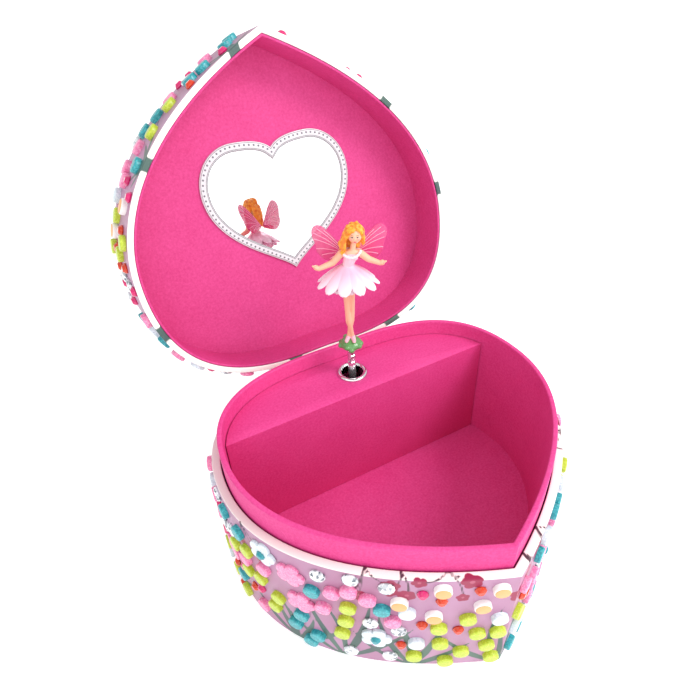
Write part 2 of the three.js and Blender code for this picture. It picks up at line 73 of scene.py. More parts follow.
camera = bpy.data.objects.new("camera", bpy.data.cameras.new("camera"))
bpy.context.collection.objects.link(camera)
camera.data.lens = camera.data.sensor_width * FOCAL_PIXELS / PHOTO_PIXELS
camera.data.shift_x = CROP_SHIFT[0] / PHOTO_PIXELS
camera.data.shift_y = CROP_SHIFT[1] / PHOTO_PIXELS
camera.data.clip_start = 0.01
camera.location = CAMERA_PLACE
turn = Euler((math.radians(90 - CAMERA_ELEVATION), 0, math.radians(CAMERA_AZIMUTH))).to_matrix()
camera.rotation_euler = (turn @ Matrix.Rotation(math.radians(CAMERA_ROLL), 3, "Z")).to_euler()
bpy.context.scene.camera = camera
print("lens:", round(camera.data.lens, 1), "mm")

# %% [markdown]
# Shader maths reads better as sums than as a net of nodes. Wire wraps one socket, and each operator adds
# one Math node behind it. Any other node comes from Finish.node, which sets the node's own settings first
# and then its sockets.


# %% Shader helpers
class Wire:
    """One socket that can be added to, multiplied and clamped."""

    def __init__(self, finish, socket):
        self.finish = finish
        self.socket = socket

    def maths(self, operation, *values):
        return self.finish.node("ShaderNodeMath", {"operation": operation}, list(values))

    def __add__(self, other):
        return self.maths("ADD", self, other)

    def __sub__(self, other):
        return self.maths("SUBTRACT", self, other)

    def __rsub__(self, other):
        return self.maths("SUBTRACT", other, self)

    def __mul__(self, other):
        return self.maths("MULTIPLY", self, other)

    __radd__ = __add__
    __rmul__ = __mul__

    def clamp(self, low, high):
        """0 at low, 1 at high, straight between."""
        settings = {"clamp": True}
        return self.finish.node("ShaderNodeMapRange", settings, [self, low, high, 0.0, 1.0])


class Finish:
    """A material with its Principled shader, and the few nodes that the finishes share."""

    def __init__(self, name):
        self.material = bpy.data.materials.new(name)
        self.material.use_nodes = True
        self.tree = self.material.node_tree
        self.shader = self.tree.nodes["Principled BSDF"]

    def node(self, kind, settings=None, values=(), output=0):
        made = self.tree.nodes.new(kind)
        for key, value in (settings or {}).items():
            setattr(made, key, value)
        pairs = values.items() if isinstance(values, dict) else enumerate(values)
        for key, value in pairs:
            self.join(value, made.inputs[key])
        return Wire(self, made.outputs[output])

    def join(self, value, socket):
        if isinstance(value, Wire):
            self.tree.links.new(value.socket, socket)
        elif value is not None:
            socket.default_value = value

    def set(self, **sockets):
        for key, value in sockets.items():
            self.join(value, self.shader.inputs[key.replace("_", " ")])
        return self

    def mix(self, factor, a, b):
        settings = {"data_type": "RGBA"}
        return self.node("ShaderNodeMix", settings, {0: factor, 6: a, 7: b}, output=2)

    def place(self):
        return self.node("ShaderNodeTexCoord", output=3)

    def noise(self, scale, detail=3.0, roughness=0.55):
        values = {"Vector": self.place(), "Scale": scale, "Detail": detail, "Roughness": roughness}
        return self.node("ShaderNodeTexNoise", None, values)

    def cells(self, scale):
        """A grey for each cell of a crumbled pattern."""
        tones = self.node("ShaderNodeTexVoronoi", None, {"Vector": self.place(), "Scale": scale}, output=1)
        return self.node("ShaderNodeSeparateColor", None, [tones])

    def attribute(self, name):
        return self.node("ShaderNodeAttribute", {"attribute_name": name}, output=2)

    def bump(self, height, distance, strength=1.0):
        values = {"Strength": strength, "Distance": distance, "Height": height}
        return self.node("ShaderNodeBump", None, values)


def colour(red, green, blue, alpha=1.0):
    """A colour read off a picture, 0 to 255, as the linear colour that a shader wants."""

    def linear(value):
        v = value / 255
        return v / 12.92 if v <= 0.04045 else ((v + 0.055) / 1.055) ** 2.4

    return (linear(red), linear(green), linear(blue), alpha)


# %% [markdown]
# Every finish is a few plain values and at most two fine textures. Card and printed paper share one fibre
# pattern, because both are paper. Chrome and the mirror are left clean, because nobody touches them.

# %% Finishes
PINK = (224, 75, 146)
MAUVE = (180, 136, 168)
CREAM = (250, 243, 236)
PRINT_EDGE = 0.16


def card_finish(name, tone, deeper):
    f = Finish(name)
    fibres = f.noise(900.0, 4.0, 0.7)
    cloud = f.noise(45.0, 2.0)
    tint = f.mix((fibres * 0.75 + cloud * 0.25).clamp(0.35, 0.65), colour(*tone), colour(*deeper))
    bump = f.bump(fibres, 0.00012, 0.7)
    f.set(Base_Color=tint, Roughness=0.62, Normal=bump, Specular_IOR_Level=0.35)
    return f.material


def printed_finish():
    """Mauve paper with printed leaves and blossom, which the board's mesh carries as distances in mm."""
    f = Finish("printed_paper")
    fibres = f.noise(900.0, 4.0, 0.7)
    cloud = f.noise(28.0, 2.0)
    tint = f.mix(cloud.clamp(0.38, 0.66), colour(*MAUVE), colour(168, 116, 146))
    # The cream attribute also carries the tray rim's painted shade.
    tint = f.mix(f.attribute("cream").clamp(0.35, 0.65), tint, colour(*CREAM))
    inks = {
        "leaf": f.mix(cloud.clamp(0.4, 0.6), colour(82, 108, 98), colour(66, 86, 84)),
        "stem": colour(78, 52, 66),
        "blossom": colour(150, 40, 76),
        "eye": colour(176, 84, 112),
    }
    for motif, ink in inks.items():
        tint = f.mix(1 - f.attribute(motif).clamp(-PRINT_EDGE, PRINT_EDGE), tint, ink)
    f.set(Base_Color=tint, Roughness=0.42, Normal=f.bump(fibres, 0.00003, 0.4), Specular_IOR_Level=0.4)
    return f.material


def plain_finish(name, tone, roughness, grain=0.0, **sockets):
    f = Finish(name)
    f.set(Base_Color=colour(*tone), Roughness=roughness, **sockets)
    if grain:
        f.set(Normal=f.bump(f.noise(1600.0, 3.0, 0.7), grain))
    return f.material


def glitter_finish(name, tone, light):
    """Foam sheet under a fine glitter: small cells, each a little lighter or darker than the next."""
    f = Finish(name)
    grey = f.cells(1900.0)
    tint = f.mix(grey.clamp(0.35, 1.0), colour(*tone), colour(*light))
    f.set(Base_Color=tint, Roughness=0.35, Normal=f.bump(grey, 0.00003, 0.5), Specular_IOR_Level=0.6)
    return f.material


def foil_finish():
    """Crumpled silver foil under clear plastic: its patches of white, grey and a few dark ones are painted
    reflection, cell by cell, under a real coat and slight metal.
    """
    f = Finish("foil_silver")
    grey = f.cells(820.0)
    # Painted reflection: the crumples' bright and dark glints are laid into the foil's colour.
    tint = f.mix(grey.clamp(0.05, 0.55), colour(96, 104, 116), colour(238, 242, 246))
    f.set(Base_Color=tint, Roughness=0.2, Metallic=0.3, Coat_Weight=0.7, Normal=f.bump(grey, 0.0002, 0.6))
    return f.material


def hair_finish():
    """Orange-yellow paint in streaks of a deeper and a lighter tone."""
    f = Finish("painted_hair")
    streaks = f.noise(520.0, 2.0).clamp(0.36, 0.62)
    f.set(Base_Color=f.mix(streaks, colour(222, 116, 22), colour(250, 176, 52)), Roughness=0.35)
    return f.material


def dress_finish():
    """Pearl-white petals that blush pink towards the waist, as far as the mesh's own value says."""
    f = Finish("painted_dress")
    blush = f.attribute("blush").clamp(0.0, 1.0)
    f.set(Base_Color=f.mix(blush, colour(240, 218, 228), colour(238, 164, 192)), Roughness=0.4)
    return f.material


CARD = card_finish("pink_card", PINK, (210, 52, 126))
# Painted shade: the lid's lining is the same pink card as the liner, given a darker copy of its colours.
LID_CARD_PAINTED_SHADE = card_finish("lid_pink_card", (212, 70, 138), (196, 50, 118))
PAPER = printed_finish()
CHROME = plain_finish("chrome", (224, 222, 224), 0.09, Metallic=1.0)
STEEL = plain_finish("spindle_steel", (224, 222, 226), 0.16, Metallic=0.9)
MIRROR = plain_finish("mirror_glass", (244, 246, 248), 0.015, Metallic=1.0)
BORDER = plain_finish("mirror_card", (212, 209, 213), 0.3, Coat_Weight=0.3)
CLOTH = plain_finish("hinge_cloth", (205, 160, 190), 0.85, grain=0.00012)
print("finishes:", len(bpy.data.materials))

# %% [markdown]
# Shapes are made as lists of points in millimetres and turned into meshes in one place. The lid's pieces
# are worked out shut, as a maker would draw them, and thrown back on the hinge line that the CAD gives.


# %% Mesh helpers
MERGE_METRES = 2e-6
FLAT_DEGREES = 0.5
SHARP_DEGREES = 38


def new_mesh(name, points, faces=()):
    """A mesh through points in millimetres."""
    mesh = bpy.data.meshes.new(name)
    mesh.from_pydata([tuple(float(v) * MM for v in p) for p in points], [], list(faces))
    return mesh


def smooth(mesh, angle):
    """Rounds the shading, except over edges sharper than an angle in degrees."""
    mesh.shade_smooth()
    mesh.set_sharp_from_angle(angle=math.radians(angle))


def repaint(mesh, material):
    mesh.materials.clear()
    mesh.materials.append(material)


def finish_object(name, mesh, smooth_angle=None):
    mesh.update()
    if smooth_angle is not None:
        smooth(mesh, smooth_angle)
    made = bpy.data.objects.new(name, mesh)
    bpy.context.collection.objects.link(made)
    return made


def to_object(name, points, faces, material, smooth_angle=None):
    mesh = new_mesh(name, points, faces)
    mesh.materials.append(material)
    return finish_object(name, mesh, smooth_angle)


def dress(piece, body, slot, *nodes):
    """Names the body that a finished piece rides on and the nodes it stands for; its slot in the record is not
    used.
    """
    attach(piece, body)
    if nodes:
        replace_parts(piece, *nodes)
    return piece


def apply_modifiers(made):
    """The object's evaluated shape as a plain mesh, with no modifier left."""
    graph = bpy.context.evaluated_depsgraph_get()
    mesh = bpy.data.meshes.new_from_object(made.evaluated_get(graph))
    made.modifiers.clear()
    made.data = mesh
    return made


def modify(made, kind, **settings):
    modifier = made.modifiers.new(kind.lower(), kind)
    for key, value in settings.items():
        setattr(modifier, key, value)
    return modifier


def rework(mesh, *steps):
    """Runs bmesh operators on a mesh, each given with its settings."""
    work = bmesh.new()
    work.from_mesh(mesh)
    for operator, kinds, settings in steps:
        operator(work, **{kind: getattr(work, kind) for kind in kinds}, **settings)
    work.to_mesh(mesh)
    work.free()
    mesh.update()


OUTWARDS = (bmesh.ops.recalc_face_normals, ("faces",), {})
MERGE = (bmesh.ops.remove_doubles, ("verts",), {"dist": MERGE_METRES})
JOIN_FLATS = (bmesh.ops.dissolve_limit, ("verts", "edges"), {"angle_limit": math.radians(FLAT_DEGREES)})


def refined(node, name, material, bevel=0.0, smooth_angle=30):
    """A merged copy of a CAD node, with its sharp edges eased."""
    mesh = frame["nodes"][node].data.copy()
    rework(mesh, MERGE, JOIN_FLATS)
    repaint(mesh, material)
    made = finish_object(name, mesh)
    if bevel:
        limit = {"limit_method": "ANGLE", "angle_limit": math.radians(SHARP_DEGREES)}
        modify(made, "BEVEL", width=bevel * MM, segments=3, **limit)
        apply_modifiers(made)
    smooth(made.data, smooth_angle)
    return made


def read_points(mesh, key="co"):
    """A mesh's points, or their normals, in a table of three columns."""
    flat = np.empty(len(mesh.vertices) * 3)
    mesh.vertices.foreach_get(key, flat)
    return flat.reshape(-1, 3)


def node_points(node):
    """A CAD node's corners in millimetres."""
    return read_points(frame["nodes"][node].data) / MM


print("corners of the mirror's border in the CAD:", len(node_points("mirror_border")))

# %% Hinge line
HINGE = np.array(JOINT["lid_hinge"]["pos_m"]) / MM
SHUT_ANGLE = math.radians(JOINT["lid_hinge"]["range_deg"][1])


def swing(points, angle):
    """Points turned about the hinge line."""
    x, y, z = np.moveaxis(np.asarray(points, float) - HINGE, -1, 0)
    c, s = math.cos(angle), math.sin(angle)
    return np.stack([x, c * y - s * z, s * y + c * z], -1) + HINGE


def thrown_back(points):
    return swing(points, -SHUT_ANGLE)


def aimed_back(directions):
    """Directions on the shut lid as they point with the lid thrown back."""
    return thrown_back(np.asarray(directions, float) + HINGE) - HINGE


print("hinge line at", HINGE.round(1), "shut after", round(math.degrees(SHUT_ANGLE), 1), "degrees")

# %% [markdown]
# Tray, liner and lid are one outline at different insets. It is read from the tray's own foot, so the
# looks can't drift from the solids, and made finer with a curve through its points. The pointed end stays
# a corner.


# %% Outline
LEVEL = 0.5
SAME_LEVEL = 0.02
MIDDLE = (0, -10)


def finer(line, steps):
    """A curve through the points of an open line, with so many steps between each two."""
    line = np.asarray(line, float)
    ends = [2 * line[0] - line[1], *line, 2 * line[-1] - line[-2]]
    out = []
    for a, b, c, d in zip(ends, ends[1:], ends[2:], ends[3:]):
        for t in np.arange(steps) / steps:
            bend = (2 * a - 5 * b + 4 * c - d) * t * t + (3 * b - a - 3 * c + d) * t**3
            out.append(b + 0.5 * ((c - a) * t + bend))
    return np.array([*out, line[-1]])


def inset_half(half, distance):
    """A half outline moved inwards, its ends trimmed or carried on to the centre line."""
    if not distance:
        return half
    along = np.gradient(half, axis=0)
    along /= np.linalg.norm(along, axis=1)[:, None]
    moved = half + distance * np.stack([-along[:, 1], along[:, 0]], 1)

    def to_centre(line):
        while line[1][0] <= 0:
            line = line[1:]
        (x0, y0), (x1, y1) = line[0], line[1]
        line = line.copy()
        line[0] = (0, y0 - x0 / (x1 - x0) * (y1 - y0))
        return line

    return to_centre(to_centre(moved)[::-1])[::-1]


def spread(line, count):
    """count + 1 points at even distances along a line, and its length."""
    steps = np.linalg.norm(np.diff(line, axis=0), axis=1)
    run = np.concatenate([[0], np.cumsum(steps)])
    at = np.linspace(0, run[-1], count + 1)
    return np.stack([np.interp(at, run, line[:, k]) for k in range(2)], 1), run[-1]


def closed(half, count):
    """The whole outline from its right half, in twice so many points."""
    right, _ = spread(half, count)
    left = right[1:-1][::-1] * (-1, 1)
    return np.concatenate([right, left])


tray_points = node_points("tray")
TRAY_HEIGHT = tray_points[:, 2].max()
level = tray_points[np.abs(tray_points[:, 2] - LEVEL) < SAME_LEVEL]
foot_ring = np.unique(level[:, :2].round(3), axis=0)
x, y = (foot_ring - MIDDLE).T
foot_ring = foot_ring[np.argsort(np.arctan2(y, x))]
foot_ring = np.roll(foot_ring, -np.argmin(foot_ring[:, 1]), axis=0)
BOX_HALF = finer(foot_ring[: len(foot_ring) // 2 + 1], 8)
HALF_LENGTH = spread(BOX_HALF, 10)[1]
print(f"outline: {len(foot_ring)} corners in the CAD, half {HALF_LENGTH:.1f} mm long")


# %% Rings
def at_height(flat, height):
    """Plane points raised to one height."""
    return np.column_stack([flat, np.full(len(flat), height)])


def ringed(profile, count):
    """Closed rings of the outline, one for each (inset, height) of a profile."""
    return [at_height(closed(inset_half(BOX_HALF, inset), count), height) for inset, height in profile]


def ring_faces(rings, count, closes=False):
    """Four-sided faces from each ring of so many points to the next, and from the last to the first."""
    faces = []
    for k in range(rings if closes else rings - 1):
        low, high = k * count, (k + 1) % rings * count
        for i in range(count):
            j = (i + 1) % count
            faces.append((low + i, low + j, high + j, high + i))
    return faces


def loft(rings):
    """Points and faces of a body through equal rings, capped at both ends."""
    count = len(rings[0])
    first, last = tuple(range(count)), tuple(range((len(rings) - 1) * count, len(rings) * count))
    return np.concatenate(rings), [first[::-1], *ring_faces(len(rings), count), last]


def arc(centre, radius, start, end, steps):
    """Points of a round edge in a profile: degrees from +inset towards +height."""
    angles = np.radians(np.linspace(start, end, steps + 1))
    return [(centre[0] + radius * math.cos(a), centre[1] + radius * math.sin(a)) for a in angles]


print("a ring at the foot:", len(ringed([(0, 0)], 60)[0]), "points")

# %% [markdown]
# The paper's print is drawn on the board, not pasted as a picture. It is a plain design of my own: tufts of
# long leaves that grow from the foot, and small blossoms that hang on thin stems from the rim. For each
# point of the wall the distance to the nearest leaf, stem or petal is kept as an attribute, so the printed
# edge stays sharp at any zoom.


# %% Print
PRINT_SEED = 7
FAR = 9.0
STROKE_STEP = 0.8
TUFTS = 15
BLADE_LEANS = (34, 62, 90, 118, 146)
BLADE_REACH = (0.4, 0.78)
BLADE_BEND = (0.004, 0.014)
BLADE_WIDTH = (3.2, 5.0)
SPRIGS = 13
STEM_LEAN = (200, 340)
STEM_REACH = (9, 19)
STEM_WIDTH = 0.95
BLOSSOM_SIZE = (1.5, 2.5)
RIM_STRETCH = 90
PRINT_KEYS = ("leaf", "blossom", "eye", "stem")


def print_fields(s, z, height, density=1.0, seed=PRINT_SEED):
    """Distances in mm from wall points (s along the wall, z above its foot) to the nearest of each motif."""
    draw = np.random.default_rng(seed)
    fields = {key: np.full(len(s), FAR) for key in PRINT_KEYS}
    span = 2 * HALF_LENGTH

    def near(centre, reach):
        """Points near a centre, and how far along and up from it they are."""
        along = (s - centre[0] + span / 2) % span - span / 2
        up = z - centre[1]
        ids = np.nonzero((np.abs(along) < reach) & (np.abs(up) < reach))[0]
        return ids, along[ids], up[ids]

    def ink(key, ids, distance):
        fields[key][ids] = np.minimum(fields[key][ids], distance)

    def stroke(key, start, lean, bend, reach, width):
        """Draws a curved line, a leaf thinning out to its tip, and gives its end."""
        x, y = start
        for step in np.arange(0, reach, STROKE_STEP):
            share = step / reach
            taper = min(1.0, 0.3 + 2.0 * share) * (1 - share) ** 0.6 if key == "leaf" else 1.0
            ids, along, up = near((x, y), width + 1.5)
            ink(key, ids, np.hypot(along, up) - taper * width / 2)
            x += STROKE_STEP * math.cos(lean)
            y += STROKE_STEP * math.sin(lean)
            lean += bend
        return x, y

    def tuft(root):
        for lean in BLADE_LEANS:
            turn = math.radians(lean + draw.uniform(-8, 8))
            reach = draw.uniform(*BLADE_REACH) * height
            bend = draw.uniform(*BLADE_BEND) * math.copysign(1, 90 - lean)
            stroke("leaf", root, turn, bend, reach, draw.uniform(*BLADE_WIDTH))

    def blossom(tip):
        size, first = draw.uniform(*BLOSSOM_SIZE), draw.uniform(0, math.tau)
        ids, along, up = near(tip, FAR)
        for petal in range(5):
            a = first + petal * math.tau / 5
            gap = np.hypot(along - size * math.cos(a), up - size * math.sin(a)) - size * 0.78
            ink("blossom", ids, gap)
        ink("eye", ids, np.hypot(along, up) - size * 0.42)

    tufts = int(TUFTS * density)
    for k in range(tufts):
        tuft((span * ((k + draw.uniform(0.2, 0.8)) / tufts - 0.5), -1.0))
    for _ in range(int(SPRIGS * density)):
        across = draw.uniform(-span / 2, span / 2)
        root = (across, height * (1.06 if abs(across) < RIM_STRETCH else 1.0))
        for lean in draw.uniform(*STEM_LEAN, 3):
            bend = draw.uniform(-0.05, 0.05)
            blossom(stroke("stem", root, math.radians(lean), bend, draw.uniform(*STEM_REACH), STEM_WIDTH))
    return fields


print("motifs:", ", ".join(PRINT_KEYS))

# %% Print on a wall
WALL_COLUMNS = 270
CREAM_RIM = 0.8
# Painted shade: how far the tray's cream rim greys towards the mauve paper at the far left.
RIM_PAINTED_SHADE = 0.3
RIM_DEPTH = 0.35


def printed(made, values):
    for key, data in values.items():
        attribute = made.data.attributes.new(key, "FLOAT", "POINT")
        attribute.data.foreach_set("value", np.asarray(data, np.float32))


def wall_fields(heights, body_height, rim, seed, density=1.0, painted_shade=0.0):
    """Print values for the rings of a covered board, in ring order, with a cream rim that painted shade may darken
    towards the left.
    """
    count = WALL_COLUMNS
    along = np.concatenate([np.arange(count + 1), np.arange(-count + 1, 0)]) * HALF_LENGTH / count
    s = np.tile(along, len(heights))
    fields = print_fields(s, np.repeat(heights, 2 * count), body_height, density, seed)
    # Painted shade: the cream rim fades towards the mauve paper along the wall to the left.
    cream = CREAM_RIM - painted_shade * (0.5 - 0.5 * s / HALF_LENGTH)
    fields["cream"] = np.where(np.repeat(rim, 2 * count), cream, 0.0)
    return fields


print("points round a wall:", 2 * WALL_COLUMNS)

# %% [markdown]
# The tray is a deep box of 3.7 mm board. Its paper goes round the edge, where the print runs out to
# off-white, greyed towards the left by painted shade. The wall has enough points to carry the print; the
# inside, which the liner hides, has few.

# %% Tray
TRAY_WALL = 3.7
TRAY_FLOOR = 3.0
EDGE = 0.5
WALL_ROWS = 84


def tray():
    top = TRAY_HEIGHT - EDGE
    profile = arc((EDGE, EDGE), EDGE, 270, 180, 3)[:-1]
    profile += [(0.0, z) for z in np.linspace(EDGE, top, WALL_ROWS)]
    profile += arc((EDGE, top), EDGE, 180, 90, 4)[1:] + [(TRAY_WALL / 2, TRAY_HEIGHT)]
    profile += arc((TRAY_WALL - EDGE, top), EDGE, 90, 0, 4) + [(TRAY_WALL, TRAY_FLOOR)]
    points, faces = loft(ringed(profile, WALL_COLUMNS))
    made = to_object("tray_covered", points, faces, PAPER, 40)
    heights = np.array([h + (inset if h > top else 0) for inset, h in profile])
    rim = np.array([h > TRAY_HEIGHT - RIM_DEPTH for _, h in profile])
    printed(made, wall_fields(heights, TRAY_HEIGHT, rim, PRINT_SEED, painted_shade=RIM_PAINTED_SHADE))
    return dress(made, "box", "printed_paper", "tray")


print("tray:", len(tray().data.vertices), "points")

# %% [markdown]
# The liner and the lid's lining are pink card. Their cut edges catch the light, so they are rounded by a
# few tenths of a millimetre.

# %% Liner and platform
LINER_TOP = node_points("liner")[:, 2].max()
LINER_INSET = 4.3
LINER_WALL = 2.2
LINER_EDGE = 0.6
FLOOR_TOP = 11.4
FLOOR_CARD = 1.6
CARD_GAP = 0.05
PLATFORM_FOLD = 0.35
FINE_COLUMNS = 150


def liner():
    inner = LINER_INSET + LINER_WALL
    foot = TRAY_FLOOR + CARD_GAP
    top = LINER_TOP - LINER_EDGE
    profile = [(inner, FLOOR_TOP - FLOOR_CARD), (inner, foot)]
    profile += [(LINER_INSET, foot), (LINER_INSET, TRAY_HEIGHT)]
    profile += arc((LINER_INSET + LINER_EDGE, top), LINER_EDGE, 180, 90, 4)
    profile += arc((inner - LINER_EDGE, top), LINER_EDGE, 90, 0, 4)
    profile += [(inner, FLOOR_TOP)]
    points, faces = loft(ringed(profile, FINE_COLUMNS))
    return dress(to_object("liner_card", points, faces, CARD, 40), "box", "pink_card", "liner")


liner()
dress(refined("platform", "platform_card", CARD, PLATFORM_FOLD), "box", "pink_card", "platform")
print("liner stands", round(LINER_TOP - TRAY_HEIGHT, 1), "mm over the tray")

# %% [markdown]
# The lid repeats the tray's board, printed outside, with a cream edge. Its top carries three rows of the
# same print. Inside it a pink strip runs round the wall and a pink panel closes it, so the lid's own hollow
# behind the panel can't be seen. The hinge is a strip of plain cloth.

# %% Lid
LID_EDGE = TRAY_HEIGHT + 0.3
LID_TOP = TRAY_HEIGHT + 41.3
LID_WALL = 2.6
LID_ROUND = 1.2
LINING_WALL = 1.1
LINING_EDGE = 0.45
LINING_BACK = 0.55
PANEL = TRAY_HEIGHT + 21.6
PANEL_CARD = 1.6
LID_ROWS = 56
TOP_RINGS = 64
TOP_CENTRE = (0, -6)
PRINT_ROWS = 3
FIRST_ROW = -84
ROW_PITCH = 50
ROW_HEIGHT = 56
ROW_DENSITY = 1.3


def lid_print(points, heights):
    """The wall's print, and on the flat top a few rows of the same."""
    fields = wall_fields(heights, LID_TOP - LID_EDGE, heights < RIM_DEPTH, PRINT_SEED + 4, density=0.5)
    top = points[:, 2] > LID_TOP - 0.01
    for key in PRINT_KEYS:
        fields[key][top] = FAR
    for row in range(PRINT_ROWS):
        up = points[top, 1] - FIRST_ROW - ROW_PITCH * row
        more = print_fields(points[top, 0], up, ROW_HEIGHT, ROW_DENSITY, PRINT_SEED + 9 + row)
        for key, data in more.items():
            fields[key][top] = np.minimum(fields[key][top], data)
    return fields


def lid():
    foot, top = LID_EDGE + EDGE, LID_TOP - LID_ROUND
    profile = [(LID_WALL, LID_TOP - LID_WALL)]
    profile += arc((LID_WALL - EDGE, foot), EDGE, 0, -90, 4) + [(LID_WALL / 2, LID_EDGE)]
    profile += arc((EDGE, foot), EDGE, 270, 180, 4)[:-1]
    profile += [(0.0, z) for z in np.linspace(foot, top, LID_ROWS)]
    profile += arc((LID_ROUND, top), LID_ROUND, 180, 90, 5)[1:]
    rings = ringed(profile, WALL_COLUMNS)
    edge, centre = rings[-1], np.array([*TOP_CENTRE, LID_TOP])
    rings += [edge + (centre - edge) * k / TOP_RINGS for k in range(1, TOP_RINGS)]
    points, faces = loft(rings)
    made = to_object("lid_covered", thrown_back(points), faces, PAPER, 40)
    printed(made, lid_print(points, np.array([ring[0, 2] - LID_EDGE for ring in rings])))
    return dress(made, "lid", "printed_paper", "lid_shell")


def lid_lining():
    outer = LID_WALL + CARD_GAP
    inner = outer + LINING_WALL
    low = LID_EDGE + LINING_BACK + LINING_EDGE
    profile = [(inner, PANEL)] + arc((inner - LINING_EDGE, low), LINING_EDGE, 0, -90, 4)
    profile += arc((outer + LINING_EDGE, low), LINING_EDGE, 270, 180, 4)
    profile += [(outer, PANEL + PANEL_CARD)]
    points, faces = loft(ringed(profile, FINE_COLUMNS))
    # Painted shade: the lining takes the darker copy of the pink card.
    made = to_object("lid_card", thrown_back(points), faces, LID_CARD_PAINTED_SHADE, 40)
    return dress(made, "lid", "pink_card", "lid_lining")


print("lid:", len(lid().data.vertices), "points")
lid_lining()
for part in ("hinge_cloth_tray", "hinge_cloth_lid"):
    repaint(frame["nodes"][part].data, CLOTH)

# %% [markdown]
# Whatever repeats, the mirror's dots and the stickers, is one small pattern set on many places by Geometry
# Nodes. The tree stands one copy on each point, turned by the point's own directions, makes the copies
# real and gives them their finish.


# %% Geometry Nodes helpers
def node_group(name, inputs):
    """An empty geometry tree with a Geometry input and the named ones; returns it and its input node."""
    tree = bpy.data.node_groups.new(name, "GeometryNodeTree")
    tree.interface.new_socket("Geometry", in_out="INPUT", socket_type="NodeSocketGeometry")
    for label, kind in inputs:
        tree.interface.new_socket(label, in_out="INPUT", socket_type=kind)
    tree.interface.new_socket("Geometry", in_out="OUTPUT", socket_type="NodeSocketGeometry")
    return tree, tree.nodes.new("NodeGroupInput")


def set_inputs(modifier, values):
    """Sets a Geometry Nodes modifier's inputs by their identifiers."""
    sockets = {s.name: s.identifier for s in modifier.node_group.interface.items_tree if s.in_out == "INPUT"}
    for label, value in values.items():
        modifier[sockets[label]] = value


def studding_tree():
    """One copy of an object on each point, its Z along the point's 'facing' and its Y along 'upward'."""
    inputs = [("Stud", "NodeSocketObject"), ("Finish", "NodeSocketMaterial")]
    tree, given = node_group("studding", inputs)
    info = tree.nodes.new("GeometryNodeObjectInfo")
    aim = tree.nodes.new("FunctionNodeAxesToRotation")
    copies = tree.nodes.new("GeometryNodeInstanceOnPoints")
    real = tree.nodes.new("GeometryNodeRealizeInstances")
    paint = tree.nodes.new("GeometryNodeSetMaterial")
    out = tree.nodes.new("NodeGroupOutput")
    aim.primary_axis, aim.secondary_axis = "Z", "Y"
    for attribute, axis in (("facing", "Primary Axis"), ("upward", "Secondary Axis")):
        field = tree.nodes.new("GeometryNodeInputNamedAttribute")
        field.data_type = "FLOAT_VECTOR"
        field.inputs["Name"].default_value = attribute
        tree.links.new(field.outputs["Attribute"], aim.inputs[axis])
    wires = (
        (given, "Stud", info, "Object"),
        (given, "Geometry", copies, "Points"),
        (info, "Geometry", copies, "Instance"),
        (aim, "Rotation", copies, "Rotation"),
        (copies, "Instances", real, "Geometry"),
        (real, "Geometry", paint, "Geometry"),
        (given, "Finish", paint, "Material"),
        (paint, "Geometry", out, "Geometry"),
    )
    for source, output, target, entry in wires:
        tree.links.new(source.outputs[output], target.inputs[entry])
    return tree


STUDDING = studding_tree()


def studded(name, places, facings, upwards, stud, material):
    """A plain mesh of one stud on each place (millimetres), made by the studding tree."""
    mesh = new_mesh(name, places)
    for key, data in (("facing", facings), ("upward", upwards)):
        attribute = mesh.attributes.new(key, "FLOAT_VECTOR", "POINT")
        attribute.data.foreach_set("vector", np.asarray(data, np.float32).ravel())
    made = finish_object(name, mesh)
    modifier = made.modifiers.new("studding", "NODES")
    modifier.node_group = STUDDING
    set_inputs(modifier, {"Stud": stud, "Finish": material})
    made.update_tag()
    apply_modifiers(made)
    for key in ("facing", "upward"):
        if key in made.data.attributes:
            made.data.attributes.remove(made.data.attributes[key])
    repaint(made.data, material)
    smooth(made.data, 35)
    return made


def stud_object(name, rings):
    """A small closed shape through rings of points, kept out of the scene as a pattern for copies."""
    return bpy.data.objects.new(name, new_mesh(name, *loft(rings)))


def oval(across, up, height, count=16):
    t = np.arange(count) / count * math.tau
    return np.stack([across * np.cos(t), up * np.sin(t), np.full(count, height)], 1)


print("tree:", len(STUDDING.nodes), "nodes")

# %% [markdown]
# The mirror is a heart in a white card border, with three thin grey lines and a row of silver dots. Real
# ones are printed card with a foil face; here the lines and dots are slight relief, so they stay crisp. The
# heart is drawn once as half an outline and inset for the border, the lines and the glass.

# %% Heart outline
border_shut = swing(node_points("mirror_border"), SHUT_ANGLE)
MIRROR_FACE = border_shut[:, 2].min()
PANEL_FACE = border_shut[:, 2].max()
HEART_COLUMNS = 90
BORDER_WIDTH = 3.8
HEART_TIP = (0, 16)
HEART_SIDE = (38, -27)
HEART_LOBE = (18.5, -47.3)
HEART_NOTCH = (0, -42.4)


def bezier(a, b, c, d, steps):
    t = np.linspace(0, 1, steps + 1)[:, None]
    a, b, c, d = (np.array(p, float) for p in (a, b, c, d))
    return (1 - t) ** 3 * a + 3 * (1 - t) ** 2 * t * b + 3 * (1 - t) * t * t * c + t**3 * d


heart_curves = [
    bezier(HEART_TIP, (8, 7), (38, -3), HEART_SIDE, 50),
    bezier(HEART_SIDE, (38, -39), (29, -47.3), HEART_LOBE, 30)[1:],
    bezier(HEART_LOBE, (10, -47.3), (3.5, -46), HEART_NOTCH, 20)[1:],
]
HEART_HALF = np.concatenate(heart_curves) * (1, -1)


print("half the heart is", round(spread(HEART_HALF, 400)[1], 1), "mm round")

# %% Border, lines and glass
LINE_INSETS = (0.45, 2.95, 3.45)
LINE_WIDTH = 0.2
LINE_RELIEF = 0.05
LINE_GREY = plain_finish("line_grey", (84, 84, 92), 0.4)


def heart_ring(inset, height):
    return at_height(closed(inset_half(HEART_HALF, inset), HEART_COLUMNS)[::-1] * (1, -1), height)


